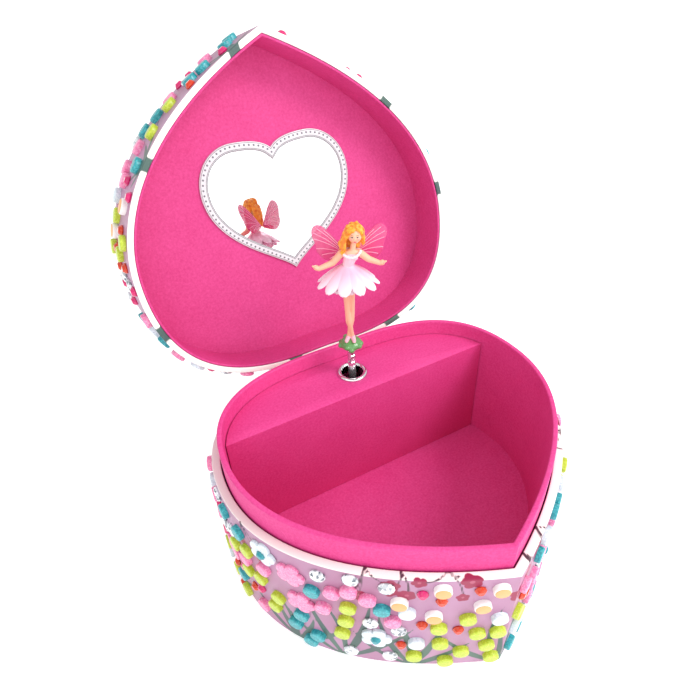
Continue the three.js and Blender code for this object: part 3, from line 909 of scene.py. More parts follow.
def band(profile, name, material):
    """A band round the heart, through (inset, height) points that close on themselves."""
    rings = [heart_ring(inset, height) for inset, height in profile]
    points = thrown_back(np.concatenate(rings))
    return to_object(name, points, ring_faces(len(rings), len(rings[0]), closes=True), material, 40)


def mirror_pieces():
    """The card border with its edges eased by a few tenths, the three lines on it and the glass in it."""
    face, back, width = MIRROR_FACE, PANEL_FACE, BORDER_WIDTH
    profile = [(width, face + 0.3), (width, back), (0, back), (0, face + 0.35)]
    profile += [(0.12, face + 0.1), (0.4, face), (width - 0.3, face), (width - 0.06, face + 0.12)]
    dress(band(profile, "heart_border", BORDER), "lid", "mirror_border", "mirror_border")
    low, high = face - LINE_RELIEF, face + LINE_RELIEF
    for number, at in enumerate(LINE_INSETS):
        line = [(at, high), (at + LINE_WIDTH, high), (at + LINE_WIDTH, low), (at, low)]
        dress(band(line, f"heart_line_{number}", LINE_GREY), "lid", "mirror_border")
    points, faces = loft([heart_ring(width + 0.1, face + 0.5), heart_ring(width + 0.1, back)])
    glass = to_object("heart_mirror", thrown_back(points), faces, MIRROR, 40)
    dress(glass, "lid", "mirror", "mirror")


mirror_pieces()
print("lines on the border:", len(LINE_INSETS))

# %% Dots
DOT_INSET = 1.55
DOT_PITCH = 2.3
DOT_SILVER = plain_finish("dot_silver", (112, 112, 120), 0.3, Metallic=0.3)


def mirror_dots():
    """A silver dot every few millimetres along the middle of the border."""
    middle, length = spread(inset_half(HEART_HALF, DOT_INSET), 400)
    flat = closed(middle, round(length / DOT_PITCH)) * (1, -1)
    places = thrown_back(at_height(flat, MIRROR_FACE + 0.02))
    towards, upward = aimed_back((0, 0, -1)), aimed_back((0, 1, 0))
    dot = stud_object("dot", [oval(r, r, h, 10) for r, h in ((0.48, -0.05), (0.48, 0.06), (0.25, 0.16))])
    n = len(places)
    made = studded("heart_dots", places, [towards] * n, [upward] * n, dot, DOT_SILVER)
    dress(made, "lid", "mirror_border")
    return n


print("mirror dots:", mirror_dots())

# %% [markdown]
# Eyelet and spindle are turned metal. The eyelet is a profile spun about the hole, with a round lip that
# the CAD has in a few flats. The spindle's short lengths are CAD solids, merged and smoothly shaded.

# %% Metal
EYELET_BOX = [np.array(corner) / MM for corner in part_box("eyelet")]
HOLE = (EYELET_BOX[0] + EYELET_BOX[1]) / 2
PLATFORM_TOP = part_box("platform")[1][2] / MM
LIP_MIDDLE = 6.35
LIP_RADIUS = 1.15
EYELET_OUTER = 5.9
EYELET_DEPTH = 3.2
SPIN_STEPS = 96


def spun(name, profile, material):
    """A closed profile of (radius, height) spun about the hole's middle."""
    rings = [oval(r, r, z, SPIN_STEPS) + (HOLE[0], HOLE[1], 0) for r, z in profile]
    faces = ring_faces(len(rings), SPIN_STEPS, closes=True)
    return to_object(name, np.concatenate(rings), faces, material, 50)


def eyelet():
    top, foot = PLATFORM_TOP + CARD_GAP, PLATFORM_TOP - EYELET_DEPTH
    lip = arc((LIP_MIDDLE, top), LIP_RADIUS, 0, 180, 14)
    profile = [(EYELET_OUTER, foot), (EYELET_OUTER, top), *lip, (LIP_MIDDLE - LIP_RADIUS, foot)]
    return dress(spun("eyelet_ring", profile, CHROME), "box", "chrome", "eyelet")


eyelet()
for part, body in (("spindle_foot", "box"), ("spindle_knuckle", "knuckle"), ("spindle_rod", "dancer")):
    dress(refined(part, part + "_bright", STEEL, smooth_angle=35), body, "chrome", part)
print("eyelet in a hole at", HOLE[:2].round(1), "with its lip at", round(PLATFORM_TOP + LIP_RADIUS, 1))

# %% [markdown]
# The dancer is one small painted moulding of soft plastic. A moulding has no hard joins, so each paint
# colour's part is built from balls and tapered limbs, fused with a voxel remesh and relaxed. Skin, hair,
# dress, shoes and base are separate pieces here, because each has its own paint.

# %% Paints
SKIN = plain_finish("painted_skin", (242, 180, 150), 0.38)
HAIR = hair_finish()
DRESS = dress_finish()
BODICE = plain_finish("painted_bodice", (246, 190, 206), 0.42)
SHOE = plain_finish("painted_shoe", (244, 178, 196), 0.35)
GREEN = plain_finish("painted_green", (92, 150, 84), 0.28, Coat_Weight=0.4)
LIP = plain_finish("painted_lip", (222, 84, 100), 0.4)
EYE = plain_finish("painted_eye", (74, 52, 50), 0.25)
WINGS = plain_finish("wing_plastic", (232, 84, 142), 0.22, Alpha=0.66, Coat_Weight=0.3)
VEINS = plain_finish("wing_vein", (250, 170, 200), 0.3)
EYE_WHITE = plain_finish("painted_eye_white", (248, 240, 238), 0.3)
BROW = plain_finish("painted_brow", (176, 112, 62), 0.5)
CHEEK = plain_finish("painted_cheek", (244, 160, 150), 0.5)
print("paints for the dancer:", len([m for m in bpy.data.materials if m.name.startswith("painted")]))

# %% Balls and limbs
DANCER_TURN = math.radians(-28)


def turned(points):
    """From the dancer's own place, facing -Y with heights from the platform, to where she stands."""
    p = np.asarray(points, float)
    c, s = math.cos(DANCER_TURN), math.sin(DANCER_TURN)
    x = HOLE[0] + c * p[:, 0] - s * p[:, 1]
    y = HOLE[1] + s * p[:, 0] + c * p[:, 1]
    return np.stack([x, y, p[:, 2] + PLATFORM_TOP], 1)


def ball_shape(centre, size, rings=10, columns=18):
    """Points and faces of a ball with three half sizes."""
    points = [(0, 0, -1)]
    for k in range(1, rings):
        a = math.pi * k / rings
        ring = math.tau * np.arange(columns) / columns
        points += [(math.sin(a) * math.cos(t), math.sin(a) * math.sin(t), -math.cos(a)) for t in ring]
    points.append((0, 0, 1))
    faces = []
    last = len(points) - 1
    for i in range(columns):
        j = (i + 1) % columns
        faces.append((0, 1 + j, 1 + i))
        for k in range(rings - 2):
            low, high = 1 + k * columns, 1 + (k + 1) * columns
            faces.append((low + i, low + j, high + j, high + i))
        faces.append((last - columns + i, last - columns + j, last))
    return np.array(points) * size + centre, faces


def limb_shape(a, radius_a, b, radius_b, columns=14):
    """Points and faces of a round bar that tapers from a to b."""
    a, b = np.array(a, float), np.array(b, float)
    along = (b - a) / np.linalg.norm(b - a)
    side = np.cross(along, (0, 1, 0.2))
    side /= np.linalg.norm(side)
    t = math.tau * np.arange(columns) / columns
    ring = np.outer(np.cos(t), side) + np.outer(np.sin(t), np.cross(along, side))
    return loft([a + ring * radius_a, b + ring * radius_b])


def chain(*stations):
    """Limbs through (x, y, z, radius) stations, with a ball at each."""
    shapes = [ball_shape(s[:3], (s[3],) * 3) for s in stations]
    shapes += [limb_shape(a[:3], a[3], b[:3], b[3]) for a, b in zip(stations, stations[1:])]
    return shapes


def joined(shapes):
    """Several shapes' points and faces as one list of each."""
    points, faces = [], []
    for shape_points, shape_faces in shapes:
        first = len(points)
        points += list(shape_points)
        faces += [tuple(first + i for i in face) for face in shape_faces]
    return np.array(points), faces


def fused(name, shapes, material, voxel, relax):
    """Shapes joined into one skin by a voxel remesh, then smoothed."""
    points, faces = joined(shapes)
    made = to_object(name, turned(points), faces, material)
    rework(made.data, OUTWARDS)
    modify(made, "REMESH", mode="VOXEL", voxel_size=voxel * MM)
    modify(made, "SMOOTH", factor=0.5, iterations=relax)
    apply_modifiers(made)
    repaint(made.data, material)
    made.data.shade_smooth()
    return made


def painted(piece):
    return dress(piece, "dancer", "painted_figure", "dancer_figure")


print("a ball has", len(ball_shape((0, 0, 0), (1, 1, 1))[1]), "faces")

# %% [markdown]
# Head, arms and legs are one colour of plastic. The face is painted on: a real one is stamped through a
# mask, so each mark is a thin flat dab that lies on the head. Eyes, brows and mouth are placed by how far
# they are across and up from the head's middle.

# %% Skin
HEAD = (3.6, -1.0, 74.3)
HEAD_SIZE = (2.95, 3.0, 3.5)
FEATURES = (
    (HEAD, HEAD_SIZE, 16, 26),
    ((3.6, -2.2, 72.6), (1.5, 1.7, 1.5)),
    ((3.6, -3.95, 73.9), (0.36, 0.34, 0.42)),
    ((1.9, 0, 65.6), (3.9, 1.9, 1.9)),
)
LIMBS = (
    ((2.3, 0, 66.4, 1.25), (3.3, -0.3, 72, 1.15)),
    ((-1.9, 0, 66, 1.6), (-6.2, 0.4, 60.9, 1.45), (-12.2, -0.8, 58.9, 1.05), (-13.3, -0.9, 59.5, 1.2)),
    ((5.7, 0, 65.4, 1.6), (9, 0.4, 62.3, 1.45), (14, -0.8, 60.8, 1.05), (14.9, -0.9, 61.1, 1.2)),
    (
        (-0.8, 0.6, 21.8, 0.95), (-0.4, 0.6, 25, 0.95), (0.6, 0.5, 31, 1.5),
        (1.2, 0.3, 36.5, 1.2), (1.3, 0.2, 57, 2),
    ),
    (
        (0.9, 0.4, 21.8, 0.95), (0.5, 0.1, 25, 0.95), (-0.5, -0.6, 31, 1.5),
        (-0.9, -0.7, 36.5, 1.2), (-1.2, 0, 57, 2),
    ),
)
HANDS = ((-1, -13.6, 59.8), (1, 15.4, 61.2))


def hand(side, x, z):
    """Four fingers in a slight fan and a thumb."""
    shapes = []
    for finger in range(4):
        fan = 0.28 * (finger - 1.5)
        tip = (x + side * 1.1, -1.0 + fan, z + 0.75 - 0.2 * finger, 0.4)
        shapes += chain((x - 0.2 * side, -0.9 + 0.6 * fan, z, 0.5), tip)
    return shapes + chain((x - 0.5 * side, -1.4, z, 0.34), (x + 0.3 * side, -2.0, z + 0.5, 0.26))


def skin():
    shapes = [ball_shape(*feature) for feature in FEATURES]
    for stations in LIMBS:
        shapes += chain(*stations)
    for place in HANDS:
        shapes += hand(*place)
    return painted(fused("dancer_skin", shapes, SKIN, 0.2, 5))


print("skin:", len(skin().data.vertices), "points")


# %% Face
def dab(name, x, z, across, up, tilt, finish, lift=0.02):
    """A thin oval of paint on the head, x and z from its middle, sunk in by a quarter of a millimetre."""
    size = np.array(HEAD_SIZE)
    y = -math.sqrt(max(1 - (x / size[0]) ** 2 - (z / size[2]) ** 2, 0.05)) * size[1]
    normal = np.array((x, y, z)) / size**2
    normal /= np.linalg.norm(normal)
    right = np.cross((0, 0, 1), normal)
    right /= np.linalg.norm(right)
    top = np.cross(normal, right)
    c, s = math.cos(tilt), math.sin(tilt)
    u, v, _ = oval(across, up, 0, 20).T
    flat = np.outer(u * c - v * s, right) + np.outer(u * s + v * c, top)
    spot = np.array(HEAD) + (x, y, z) + normal * lift
    rings = [spot + flat - normal * 0.25, spot + flat, spot + flat * 0.5 + normal * 0.05]
    points, faces = loft(rings)
    return painted(to_object(name, turned(points), faces, finish, 50))


def face_paint():
    """Eyes, brows, cheeks and mouth."""
    for side, word in ((-1, "right"), (1, "left")):
        dab(f"eye_white_{word}", side * 1.15, 0.12, 0.48, 0.22, side * 0.1, EYE_WHITE)
        dab(f"eye_{word}", side * 1.1, 0.1, 0.26, 0.22, 0, EYE, 0.07)
        dab(f"lash_{word}", side * 1.18, 0.32, 0.6, 0.14, -side * 0.14, EYE, 0.06)
        dab(f"brow_{word}", side * 1.2, 0.98, 0.6, 0.12, -side * 0.16, BROW, 0.03)
        dab(f"cheek_{word}", side * 1.6, -0.95, 0.5, 0.42, 0, CHEEK, 0.0)
    dab("mouth", 0, -1.62, 0.62, 0.17, 0, LIP, 0.42)
    dab("lower_lip", 0, -1.82, 0.38, 0.15, 0, LIP, 0.40)


face_paint()
print("face painted round", HEAD)

# %% [markdown]
# Hair is a cap, a few thick masses and long locks. Its grooves are cut by moving each point in or out with
# a wave that runs down the lock, which looks combed from any side.

# %% Hair
CAP = (((3.65, 0.35, 75.3), (3.55, 3.5, 3.75), 16, 26), ((3.5, 1.5, 72.6), (3.2, 2.6, 3.6)))
# Stations of (x, y, z, radius), from the crown down.
MASSES = (
    ((2.4, 3, 73, 2), (1.8, 3.6, 67.5, 1.9), (1.2, 3.4, 62.5, 1.1)),
    ((4.6, 3, 73, 2), (4, 3.6, 67.5, 1.9), (3.2, 3.4, 63, 1.1)),
    (
        (0.9, -0.6, 76.4, 1), (-0.3, -0.9, 73.4, 1.3), (-1.5, -0.9, 70.6, 1.4),
        (-1.1, -1.7, 67.8, 1), (-1.9, -1.6, 66.2, 0.6),
    ),
    ((0.4, 0.8, 75, 1.3), (-1, 1.2, 71.4, 1.4), (-2.2, 1.4, 68.6, 1), (-2, 0.6, 66.8, 0.6)),
    ((6.3, -0.5, 76, 0.9), (6.8, -0.4, 73.4, 0.9), (6.5, 0.2, 71, 0.8), (6.9, 0.2, 69.4, 0.5)),
    ((4.6, -2, 78, 0.8), (2.4, -3.2, 77.2, 0.95), (0.9, -2.9, 75.8, 0.85), (0.5, -2, 73.8, 0.7)),
    ((4.4, -2, 78.2, 0.8), (5.9, -2.9, 77, 0.8), (6.7, -2.1, 75.2, 0.7), (6.6, -1.4, 73.4, 0.5)),
)
# Thickness at the root, then the way down.
LOCKS = (
    (
        0.62, (1.6, -2, 77.8), (-0.2, -2, 75.4), (-0.4, -1.8, 72.8),
        (-2, -1.6, 70.4), (-1.8, -2.2, 68.2), (-3, -1.8, 66.6),
    ),
    (
        0.65, (1.2, -1, 78), (-0.6, -0.8, 75.6), (-1.2, -0.4, 72.8),
        (-2.8, -0.2, 70.6), (-2.6, -0.8, 68.6), (-3.6, -0.4, 67.2),
    ),
    (0.65, (0.8, 0.4, 77.6), (-0.6, 1, 75), (-1.6, 1.4, 72), (-3, 1.2, 69.6), (-2.8, 0.8, 67.6)),
    (0.5, (1, -2.4, 76.4), (0.2, -2.6, 74.2), (-0.6, -2.2, 71.6), (-0.4, -2.8, 69.2), (-1.4, -2.6, 67.4)),
    (0.5, (5.8, -2, 77.8), (7.1, -1.6, 75.8), (6.9, -1.4, 73.8), (7.5, -0.9, 71.6), (7, -0.8, 70)),
    (0.55, (6, -0.8, 78), (7.4, -0.2, 75.8), (7.3, 0.2, 73.4), (7.7, 0.6, 71), (7.2, 0.8, 69)),
    (0.55, (4.6, -1.9, 78.3), (2.9, -3.4, 77.8), (1.3, -3.5, 76.6), (0.6, -2.8, 75)),
    (0.55, (4.4, -1.2, 78.5), (2.4, -2.4, 78.3), (0.8, -2.4, 77.2), (0, -1.4, 75.8)),
    (0.55, (4.2, -0.4, 78.6), (2, -0.8, 78.5), (0.4, -0.6, 77.2), (-0.2, 0.4, 75.4)),
    (0.45, (4.7, -1.9, 78.3), (5.9, -2.7, 77.6), (6.8, -2.2, 76.2)),
    (0.5, (4.8, -0.8, 78.6), (6.2, -1.2, 78), (7.1, -0.6, 76.6)),
    (0.6, (4.4, 0.6, 78.7), (4.6, 2.6, 78.2), (4.8, 4, 76), (4.4, 4.6, 72)),
    (0.6, (2.6, 0.6, 78.5), (2, 2.8, 77.6), (1.4, 3.8, 75), (1.2, 4.6, 71)),
    (0.65, (1.6, 2.6, 74), (0.2, 3.6, 70.6), (-0.6, 4.2, 67), (-0.4, 4.4, 63.6)),
    (0.65, (3.4, 3.6, 74), (2.8, 4.8, 70), (2.4, 5, 66), (2, 4.8, 62)),
    (0.65, (5.6, 3, 74), (5.4, 4.2, 70.6), (4.8, 4.6, 67), (4.4, 4.4, 64)),
)
GROOVES = 13
GROOVE_DEPTH = 0.09


def lock(thick, path):
    """One wavy lock that thins out towards its end."""
    line = finer(path, 5)
    t = np.linspace(0, 1, len(line))
    line[:, 0] += 0.28 * np.sin(t * 15) * t
    line[:, 2] += 0.1 * np.cos(t * 13)
    radii = thick * (1 - 0.65 * t**2)
    shapes = [limb_shape(a, ra, b, rb, 8) for a, ra, b, rb in zip(line, radii, line[1:], radii[1:])]
    return shapes + [ball_shape(p, (r, r, r), 6, 10) for p, r in zip(line, radii)]


def groove(mesh):
    """Moves points in or out with a wave round the head that drifts with the height."""
    points, normals = read_points(mesh), read_points(mesh, "normal")
    x, y, height = (points / MM - turned([(3.6, 0.2, 0)])[0]).T
    swirl = np.arctan2(y, x) * GROOVES + 0.5 * np.sin(height * 0.8) + 0.9 * np.sin(height * 0.31)
    points += normals * (GROOVE_DEPTH * MM * np.sin(swirl))[:, None]
    mesh.vertices.foreach_set("co", points.ravel())
    mesh.update()


def hair():
    shapes = [ball_shape(*cap) for cap in CAP]
    for stations in MASSES:
        shapes += chain(*stations)
    for thick, *path in LOCKS:
        shapes += lock(thick, path)
    made = fused("dancer_hair", shapes, HAIR, 0.17, 2)
    groove(made.data)
    return painted(made)


print("hair:", len(LOCKS), "locks,", len(hair().data.vertices), "points")

# %% [markdown]
# The skirt is three layers of petals, each a curved leaf of cloth with a raised middle. The bodice is
# close to the body, with a ruffle of small balls along its neckline. She stands on tiptoe on a round base
# of green leaves.

# %% Skirt
SKIRT_DEEP = 0.78
SKIRT_WAIST = 2.4
SKIRT_THICKNESS = 0.45
BLUSH_FROM = 51.5
BLUSH_OVER = 7.5
# Petals, how far out and down they reach, half width, height of the waist, lift and first angle.
SKIRT_LAYERS = (
    (11, 13.9, 9.6, 3.3, 60.2, 1.6, 0.0),
    (9, 11.6, 9.9, 3.2, 59.6, 0.9, 0.31),
    (8, 9.0, 9.6, 3.2, 58.8, 0.5, 0.1),
)


def petal(angle, reach, droop, half_width, top, lift, rows=12, columns=9):
    """Points and faces of one petal: out from the waist and down, with a blunt end."""
    points = []
    for t in np.arange(rows + 1) / rows:
        out = SKIRT_WAIST + (reach - SKIRT_WAIST) * t**1.05
        fall = top - droop * t**0.86 + lift * math.sin(math.pi * t) * 0.5
        belly = 0.45 + 0.55 * math.sin(math.pi * (0.12 + 0.62 * t))
        width = half_width * math.sqrt(1.0 - 0.97 * t**9) * belly
        for v in np.linspace(-1, 1, columns):
            a = angle + v * width / max(out, 3)
            crown = 0.55 * (1 - v * v) * math.sin(math.pi * t)
            points.append((out * math.cos(a), out * math.sin(a) * SKIRT_DEEP, fall + crown - 0.5 * v * v * t))
    corners = [r * columns + c for r in range(rows) for c in range(columns - 1)]
    return points, [(k, k + columns, k + columns + 1, k + 1) for k in corners]


def skirt():
    petals = []
    for count, *shape, offset in SKIRT_LAYERS:
        petals += [petal(math.tau * k / count + offset, *shape) for k in range(count)]
    points, faces = joined(petals)
    made = to_object("dancer_skirt", turned(points), faces, DRESS)
    modify(made, "SOLIDIFY", thickness=SKIRT_THICKNESS * MM, offset=0.0)
    modify(made, "SUBSURF", levels=1, render_levels=1)
    apply_modifiers(made)
    made.data.shade_smooth()
    height = read_points(made.data)[:, 2] / MM - PLATFORM_TOP
    printed(made, {"blush": np.clip((height - BLUSH_FROM) / BLUSH_OVER, 0, 0.85)})
    return painted(made)


print("skirt:", len(skirt().data.vertices), "points")

# %% Bodice
BODY = ((0.1, 0, 58.6, 2.7), (0.3, 0, 60.4, 2.4), (1.2, -0.1, 63.2, 2.75))
NECK = (
    (-1.9, -0.2, 66.6, 0.6), (-1.2, 1.2, 66.9, 0.55), (1.9, 2.2, 66.4, 0.6),
    (5.2, 1.2, 66.5, 0.55), (5.8, -0.2, 66.3, 0.6),
)
RUFFLE_BALLS = 26


def bodice():
    shapes = chain(*BODY) + [ball_shape((1.7, -0.1, 64.6), (3.6, 2.3, 2.0))]
    shapes += [ball_shape((x, -1.5, 64.2), (1.6, 1.35, 1.45)) for x in (0.5, 3.1)]
    painted(fused("dancer_bodice", shapes, BODICE, 0.2, 5))
    ruffle = []
    for k in range(RUFFLE_BALLS):
        t = math.pi * (0.02 + 0.96 * k / (RUFFLE_BALLS - 1))
        height = 66.7 - 1.9 * math.sin(t) ** 1.5 + 0.15 * math.sin(k * 2.1)
        place = (1.9 + 3.9 * math.cos(t), -0.4 - 2.5 * math.sin(t), height)
        ruffle.append(ball_shape(place, (0.55, 0.5, 0.62)))
    return painted(fused("dancer_ruffle", ruffle + chain(*NECK), DRESS, 0.16, 2))


print("ruffle:", len(bodice().data.vertices), "points")

# %% Shoes and base
BASE_LUMPS = 9


def shoes():
    shapes = chain((-0.9, 0.8, 21.4, 1.2), (-1.9, -1.9, 20.9, 0.95))
    shapes += chain((1.0, 0.5, 21.5, 1.2), (1.5, -2.2, 20.9, 0.95))
    shapes += [ball_shape(toe, (0.9, 1.4, 0.75)) for toe in ((-2.0, -2.2, 21.0), (1.6, -2.6, 21.0))]
    return painted(fused("dancer_shoes", shapes, SHOE, 0.2, 4))


def base():
    lumps = [ball_shape((0, 0, 18), (5.2, 5.2, 2.95), 14, 24)]
    draw = np.random.default_rng(3)
    for k in range(BASE_LUMPS):
        a = math.tau * k / BASE_LUMPS + draw.uniform(-0.15, 0.15)
        r = draw.uniform(4.1, 4.8)
        size = draw.uniform(1.3, 1.75)
        place = (r * math.cos(a), r * math.sin(a), 17.6 + draw.uniform(-0.6, 1.2))
        lumps.append(ball_shape(place, (size, size, size * 0.85)))
    return painted(fused("dancer_base", lumps, GREEN, 0.24, 3))


print("shoes and base:", len(shoes().data.vertices) + len(base().data.vertices), "points")

# %% [markdown]
# The wings are one thin see-through plate in two halves, with raised veins that fan out from the back.
# Plastic like this is clear where it is thin, so the plate is thin and the veins are a paler finish.

# %% Wings
WING_EDGE = (
    (1.2, 62.5), (4.5, 66.8), (8.2, 71.6), (11.4, 74.6), (13.8, 75.0), (15.6, 73.4), (16.0, 70.4),
    (15.2, 67.6), (14.6, 65.4), (14.2, 62.6), (12.4, 60.0), (9.8, 58.4), (7.4, 58.2), (4.6, 59.2),
    (1.2, 60.8), (1.2, 62.5),
)
WING_MIDDLE = (7.5, 65.5)
WING_LAYERS = ((0.25, -0.3), (0.97, -0.3), (1.0, 0.0), (0.97, 0.3), (0.25, 0.3))
WING_CENTRE = 1.3
WING_BACK = 5.75
WING_BEND = 0.12
VEIN_ROOT = (1.6, 61.9)
VEIN_ENDS = (
    (13.6, 73.6), (15.2, 71.6), (15.0, 68.8), (10.6, 72.8), (7.2, 69.2),
    (14.4, 64.2), (12.2, 61.2), (8.8, 59.6), (5.6, 59.8),
)


def wing_points(flat, side, lift):
    x, z = flat[:, 0], flat[:, 1]
    y = WING_BACK + lift + WING_BEND * np.maximum(x - 1, 0)
    return np.stack([WING_CENTRE + side * x, y, z], 1)


def wing_piece(name, points, faces, material, *nodes):
    made = to_object(name, points, faces, material, 60)
    rework(made.data, OUTWARDS)
    return dress(made, "dancer", "wing_plastic", *nodes)


def veins(side):
    """Thin ribs on both faces of a wing, each along a slight curve."""
    ribs = []
    t = np.linspace(0, 1, 9)[:, None]
    for end in VEIN_ENDS:
        path = VEIN_ROOT + (np.array(end) - VEIN_ROOT) * t + (0, 0.9) * np.sin(math.pi * t)
        for lift in (-0.28, 0.28):
            line = wing_points(path, side, lift)
            ribs += [limb_shape(a, 0.17, b, 0.15, 6) for a, b in zip(line, line[1:])]
    points, faces = joined(ribs)
    return turned(points), faces


edge = finer(WING_EDGE, 5)[:-1]
for side, word in ((1, "left"), (-1, "right")):
    layers = [(WING_MIDDLE + (edge - WING_MIDDLE) * scale, lift) for scale, lift in WING_LAYERS]
    plate = loft([turned(wing_points(flat, side, lift)) for flat, lift in layers])
    wing_piece(f"wing_{word}", *plate, WINGS, "dancer_wings")
    wing_piece(f"wing_veins_{word}", *veins(side), VEINS)
print("wings:", len(VEIN_ENDS), "veins on each face")

# %% [markdown]
# The stickers are what a child adds: foam ovals with a soft edge, some with a peach face on white foam, cut
# gems, silver foil domes and foam flowers. Each kind is drawn once here as rings of points, flat side on
# the wall.

# %% Sticker patterns
STICKER_TONES = {
    "teal": ((24, 142, 152), (66, 184, 190)),
    "lime": ((176, 196, 38), (204, 220, 80)),
    "pink": ((234, 118, 168), (247, 168, 202)),
    "white": ((204, 218, 226), (232, 240, 246)),
}
GEM_TONES = {"orange": (204, 50, 0), "magenta": (206, 24, 104), "teal": (24, 140, 150)}
FINISHES = {("o", word): glitter_finish(f"sticker_{word}", *tones) for word, tones in STICKER_TONES.items()}
FINISHES |= {("f", word): finish for (_, word), finish in FINISHES.items()}
for word, tone in GEM_TONES.items():
    FINISHES["g", word] = plain_finish(f"gem_{word}", tone, 0.1, Specular_IOR_Level=0.5, Coat_Weight=0.3)
FINISHES["o", "peach"] = plain_finish("foam_white", (244, 240, 238), 0.45)
FINISHES["s", "silver"] = foil_finish()
FACE_PEACH = plain_finish("foam_peach", (240, 172, 112), 0.4)
REACH = {"o": 3.45, "s": 3.4, "g": 2.4, "f": 6.6}
FOAM_HIGH = 2.35
FOAM_STEPS = ((1, 0), (1, 0.72), (0.975, 0.87), (0.925, 0.95), (0.85, 1.0), (0.4, 1.0))
FACE_STEPS = ((3.0, 2.85, 0), (3.0, 2.85, 0.2), (2.8, 2.65, 0.28))
CUT = ((0.92, 0), (1, 0.52), (0.8, 1.35), (0.52, 2.0))
FOIL_CUT = ((0.96, 0), (1, 0.6), (0.9, 1.3), (0.72, 1.7), (0.45, 1.8))
FLOWER_STEPS = ((0, 0), (0, 1.1), (0.3, 1.4), (1.2, 1.5))


def flower_ring(inset, height, count=60):
    t = np.arange(count) / count * math.tau
    r = REACH["f"] * (0.7 + 0.3 * np.abs(np.cos(2.5 * t)) ** 0.6) - inset
    return np.stack([r * np.cos(t), r * np.sin(t), np.full(count, height)], 1)


PATTERNS = {
    "o": stud_object("foam_oval", [oval(3.45 * k, 3.4 * k, FOAM_HIGH * h) for k, h in FOAM_STEPS]),
    "g": stud_object("cut_gem", [oval(2.4 * k, 2.4 * k, h, 8) for k, h in CUT]),
    "s": stud_object("cut_foil", [oval(3.4 * k, 3.3 * k, h, 12) for k, h in FOIL_CUT]),
    "f": stud_object("foam_flower", [flower_ring(*step) for step in FLOWER_STEPS]),
}
FOAM_FACE = stud_object("foam_face", [oval(a, u, FOAM_HIGH + h) for a, u, h in FACE_STEPS])
FLOWER_GEM = stud_object("flower_gem", [oval(2.2 * k, 2.2 * k, 1.4 + 0.8 * h, 8) for k, h in CUT])
RECORD_SLOTS = {row["slot"] for row in frame["record"]["materials"]}


def slot_for(kind, word):
    slot = f"gem_{word}" if kind == "g" else f"sticker_{word}"
    return slot if slot in RECORD_SLOTS else "sticker_white"


print("stickers:", len(PATTERNS), "kinds in", len(FINISHES), "finishes")

# %% [markdown]
# Where they go: the CAD's own stickers first, then a table for the side that the photo shows,
# then a fixed-seed scatter that keeps its distance from all of them. Clusters of one colour come from a slow
# wave over the wall, because a child works through one sheet of stickers at a time.

# %% Sticker places
# In thousandths of half the wall's length from the point, and in hundredths of the tray's height.
SHOWN_SIDE = {
    ("o", "lime"): ((18, 42), (20, 10), (100, 8), (278, 32), (469, 50), (434, 54), (410, 30), (500, 66)),
    ("g", "orange"): ((145, 53), (85, 47), (395, 70), (464, 31), (60, 90)),
    ("g", "magenta"): ((442, 38), (250, 66), (490, 44)),
    ("o", "pink"): ((290, 77), (308, 57), (338, 91), (443, 18), (470, 62)),
    ("o", "teal"): ((400, 22), (476, 87), (502, 30), (340, 8), (445, 88)),
    ("o", "white"): ((170, 67), (152, 31), (20, 58), (372, 66), (297, 20)),
    ("s", "silver"): (
        (203, 91), (231, 93), (259, 94), (286, 93), (312, 90), (229, 50), (182, 44), (265, 10), (196, 11),
    ),
    ("f", "pink"): ((313, 41),),
}
CLUSTERS = (
    (("o", "lime"), ("o", "lime"), ("g", "orange"), ("o", "white")),
    (("o", "teal"), ("o", "teal"), ("o", "pink"), ("s", "silver")),
    (("o", "pink"), ("s", "silver"), ("g", "magenta"), ("o", "white")),
    (("o", "peach"), ("s", "silver"), ("g", "orange"), ("o", "lime")),
)


print("placed by hand:", sum(len(places) for places in SHOWN_SIDE.values()))

# %% Places on a wall
WALL_STEPS = 400
WALL_LINE = spread(BOX_HALF, WALL_STEPS)[0]
STICKER_GAP = 0.35
RIM_CLEAR = 3
EDGE_CLEAR = 0.8
CLOTH_CLEAR = 40


def wall_frame(s, z):
    """Place and outward direction on the outer wall, s along it from the point, left being negative."""
    at = min(abs(s) / HALF_LENGTH, 1) * WALL_STEPS
    k = min(int(at), WALL_STEPS - 1)
    a, b = WALL_LINE[k], WALL_LINE[k + 1]
    place = a + (b - a) * (at - k)
    along = (b - a) / np.linalg.norm(b - a)
    side = -1 if s < 0 else 1
    return np.array((side * place[0], place[1], z)), np.array((side * along[1], -along[0], 0))


def clear(placed, kind, s, z):
    """Whether a sticker would stand free of all that are placed."""
    span = 2 * HALF_LENGTH
    for other, a, b, _ in placed:
        gap = math.hypot((s - a + span / 2) % span - span / 2, z - b)
        if gap < REACH[kind] + REACH[other] + STICKER_GAP:
            return False
    return True


def scatter(placed, height, tries, seed, kept=(0, 0)):
    """Fills a wall with stickers by trial, each clear of those before it, outside a stretch kept as it is."""
    draw = np.random.default_rng(seed)
    reach = HALF_LENGTH - CLOTH_CLEAR
    for _ in range(tries):
        s, z = draw.uniform(-reach, reach), draw.uniform(RIM_CLEAR, height - RIM_CLEAR)
        zone = int(2 + 1.9 * math.sin(s / 19 + seed) * math.cos(z / 21 + s / 53 + seed)) % 4
        kind, word = CLUSTERS[zone][int(draw.uniform() * 4)]
        edge = REACH[kind] + EDGE_CLEAR
        free = abs(s) > edge and edge < z < height - edge and not kept[0] < s < kept[1]
        if free and clear(placed, kind, s, z):
            placed.append((kind, s, z, word))
    return placed


print("the wall's middle, half way round:", wall_frame(HALF_LENGTH / 2, 0)[0].round(1))

# %% Fill the walls
FLOWER_HIGH = 9
SHOWN_STRETCH = 0.49


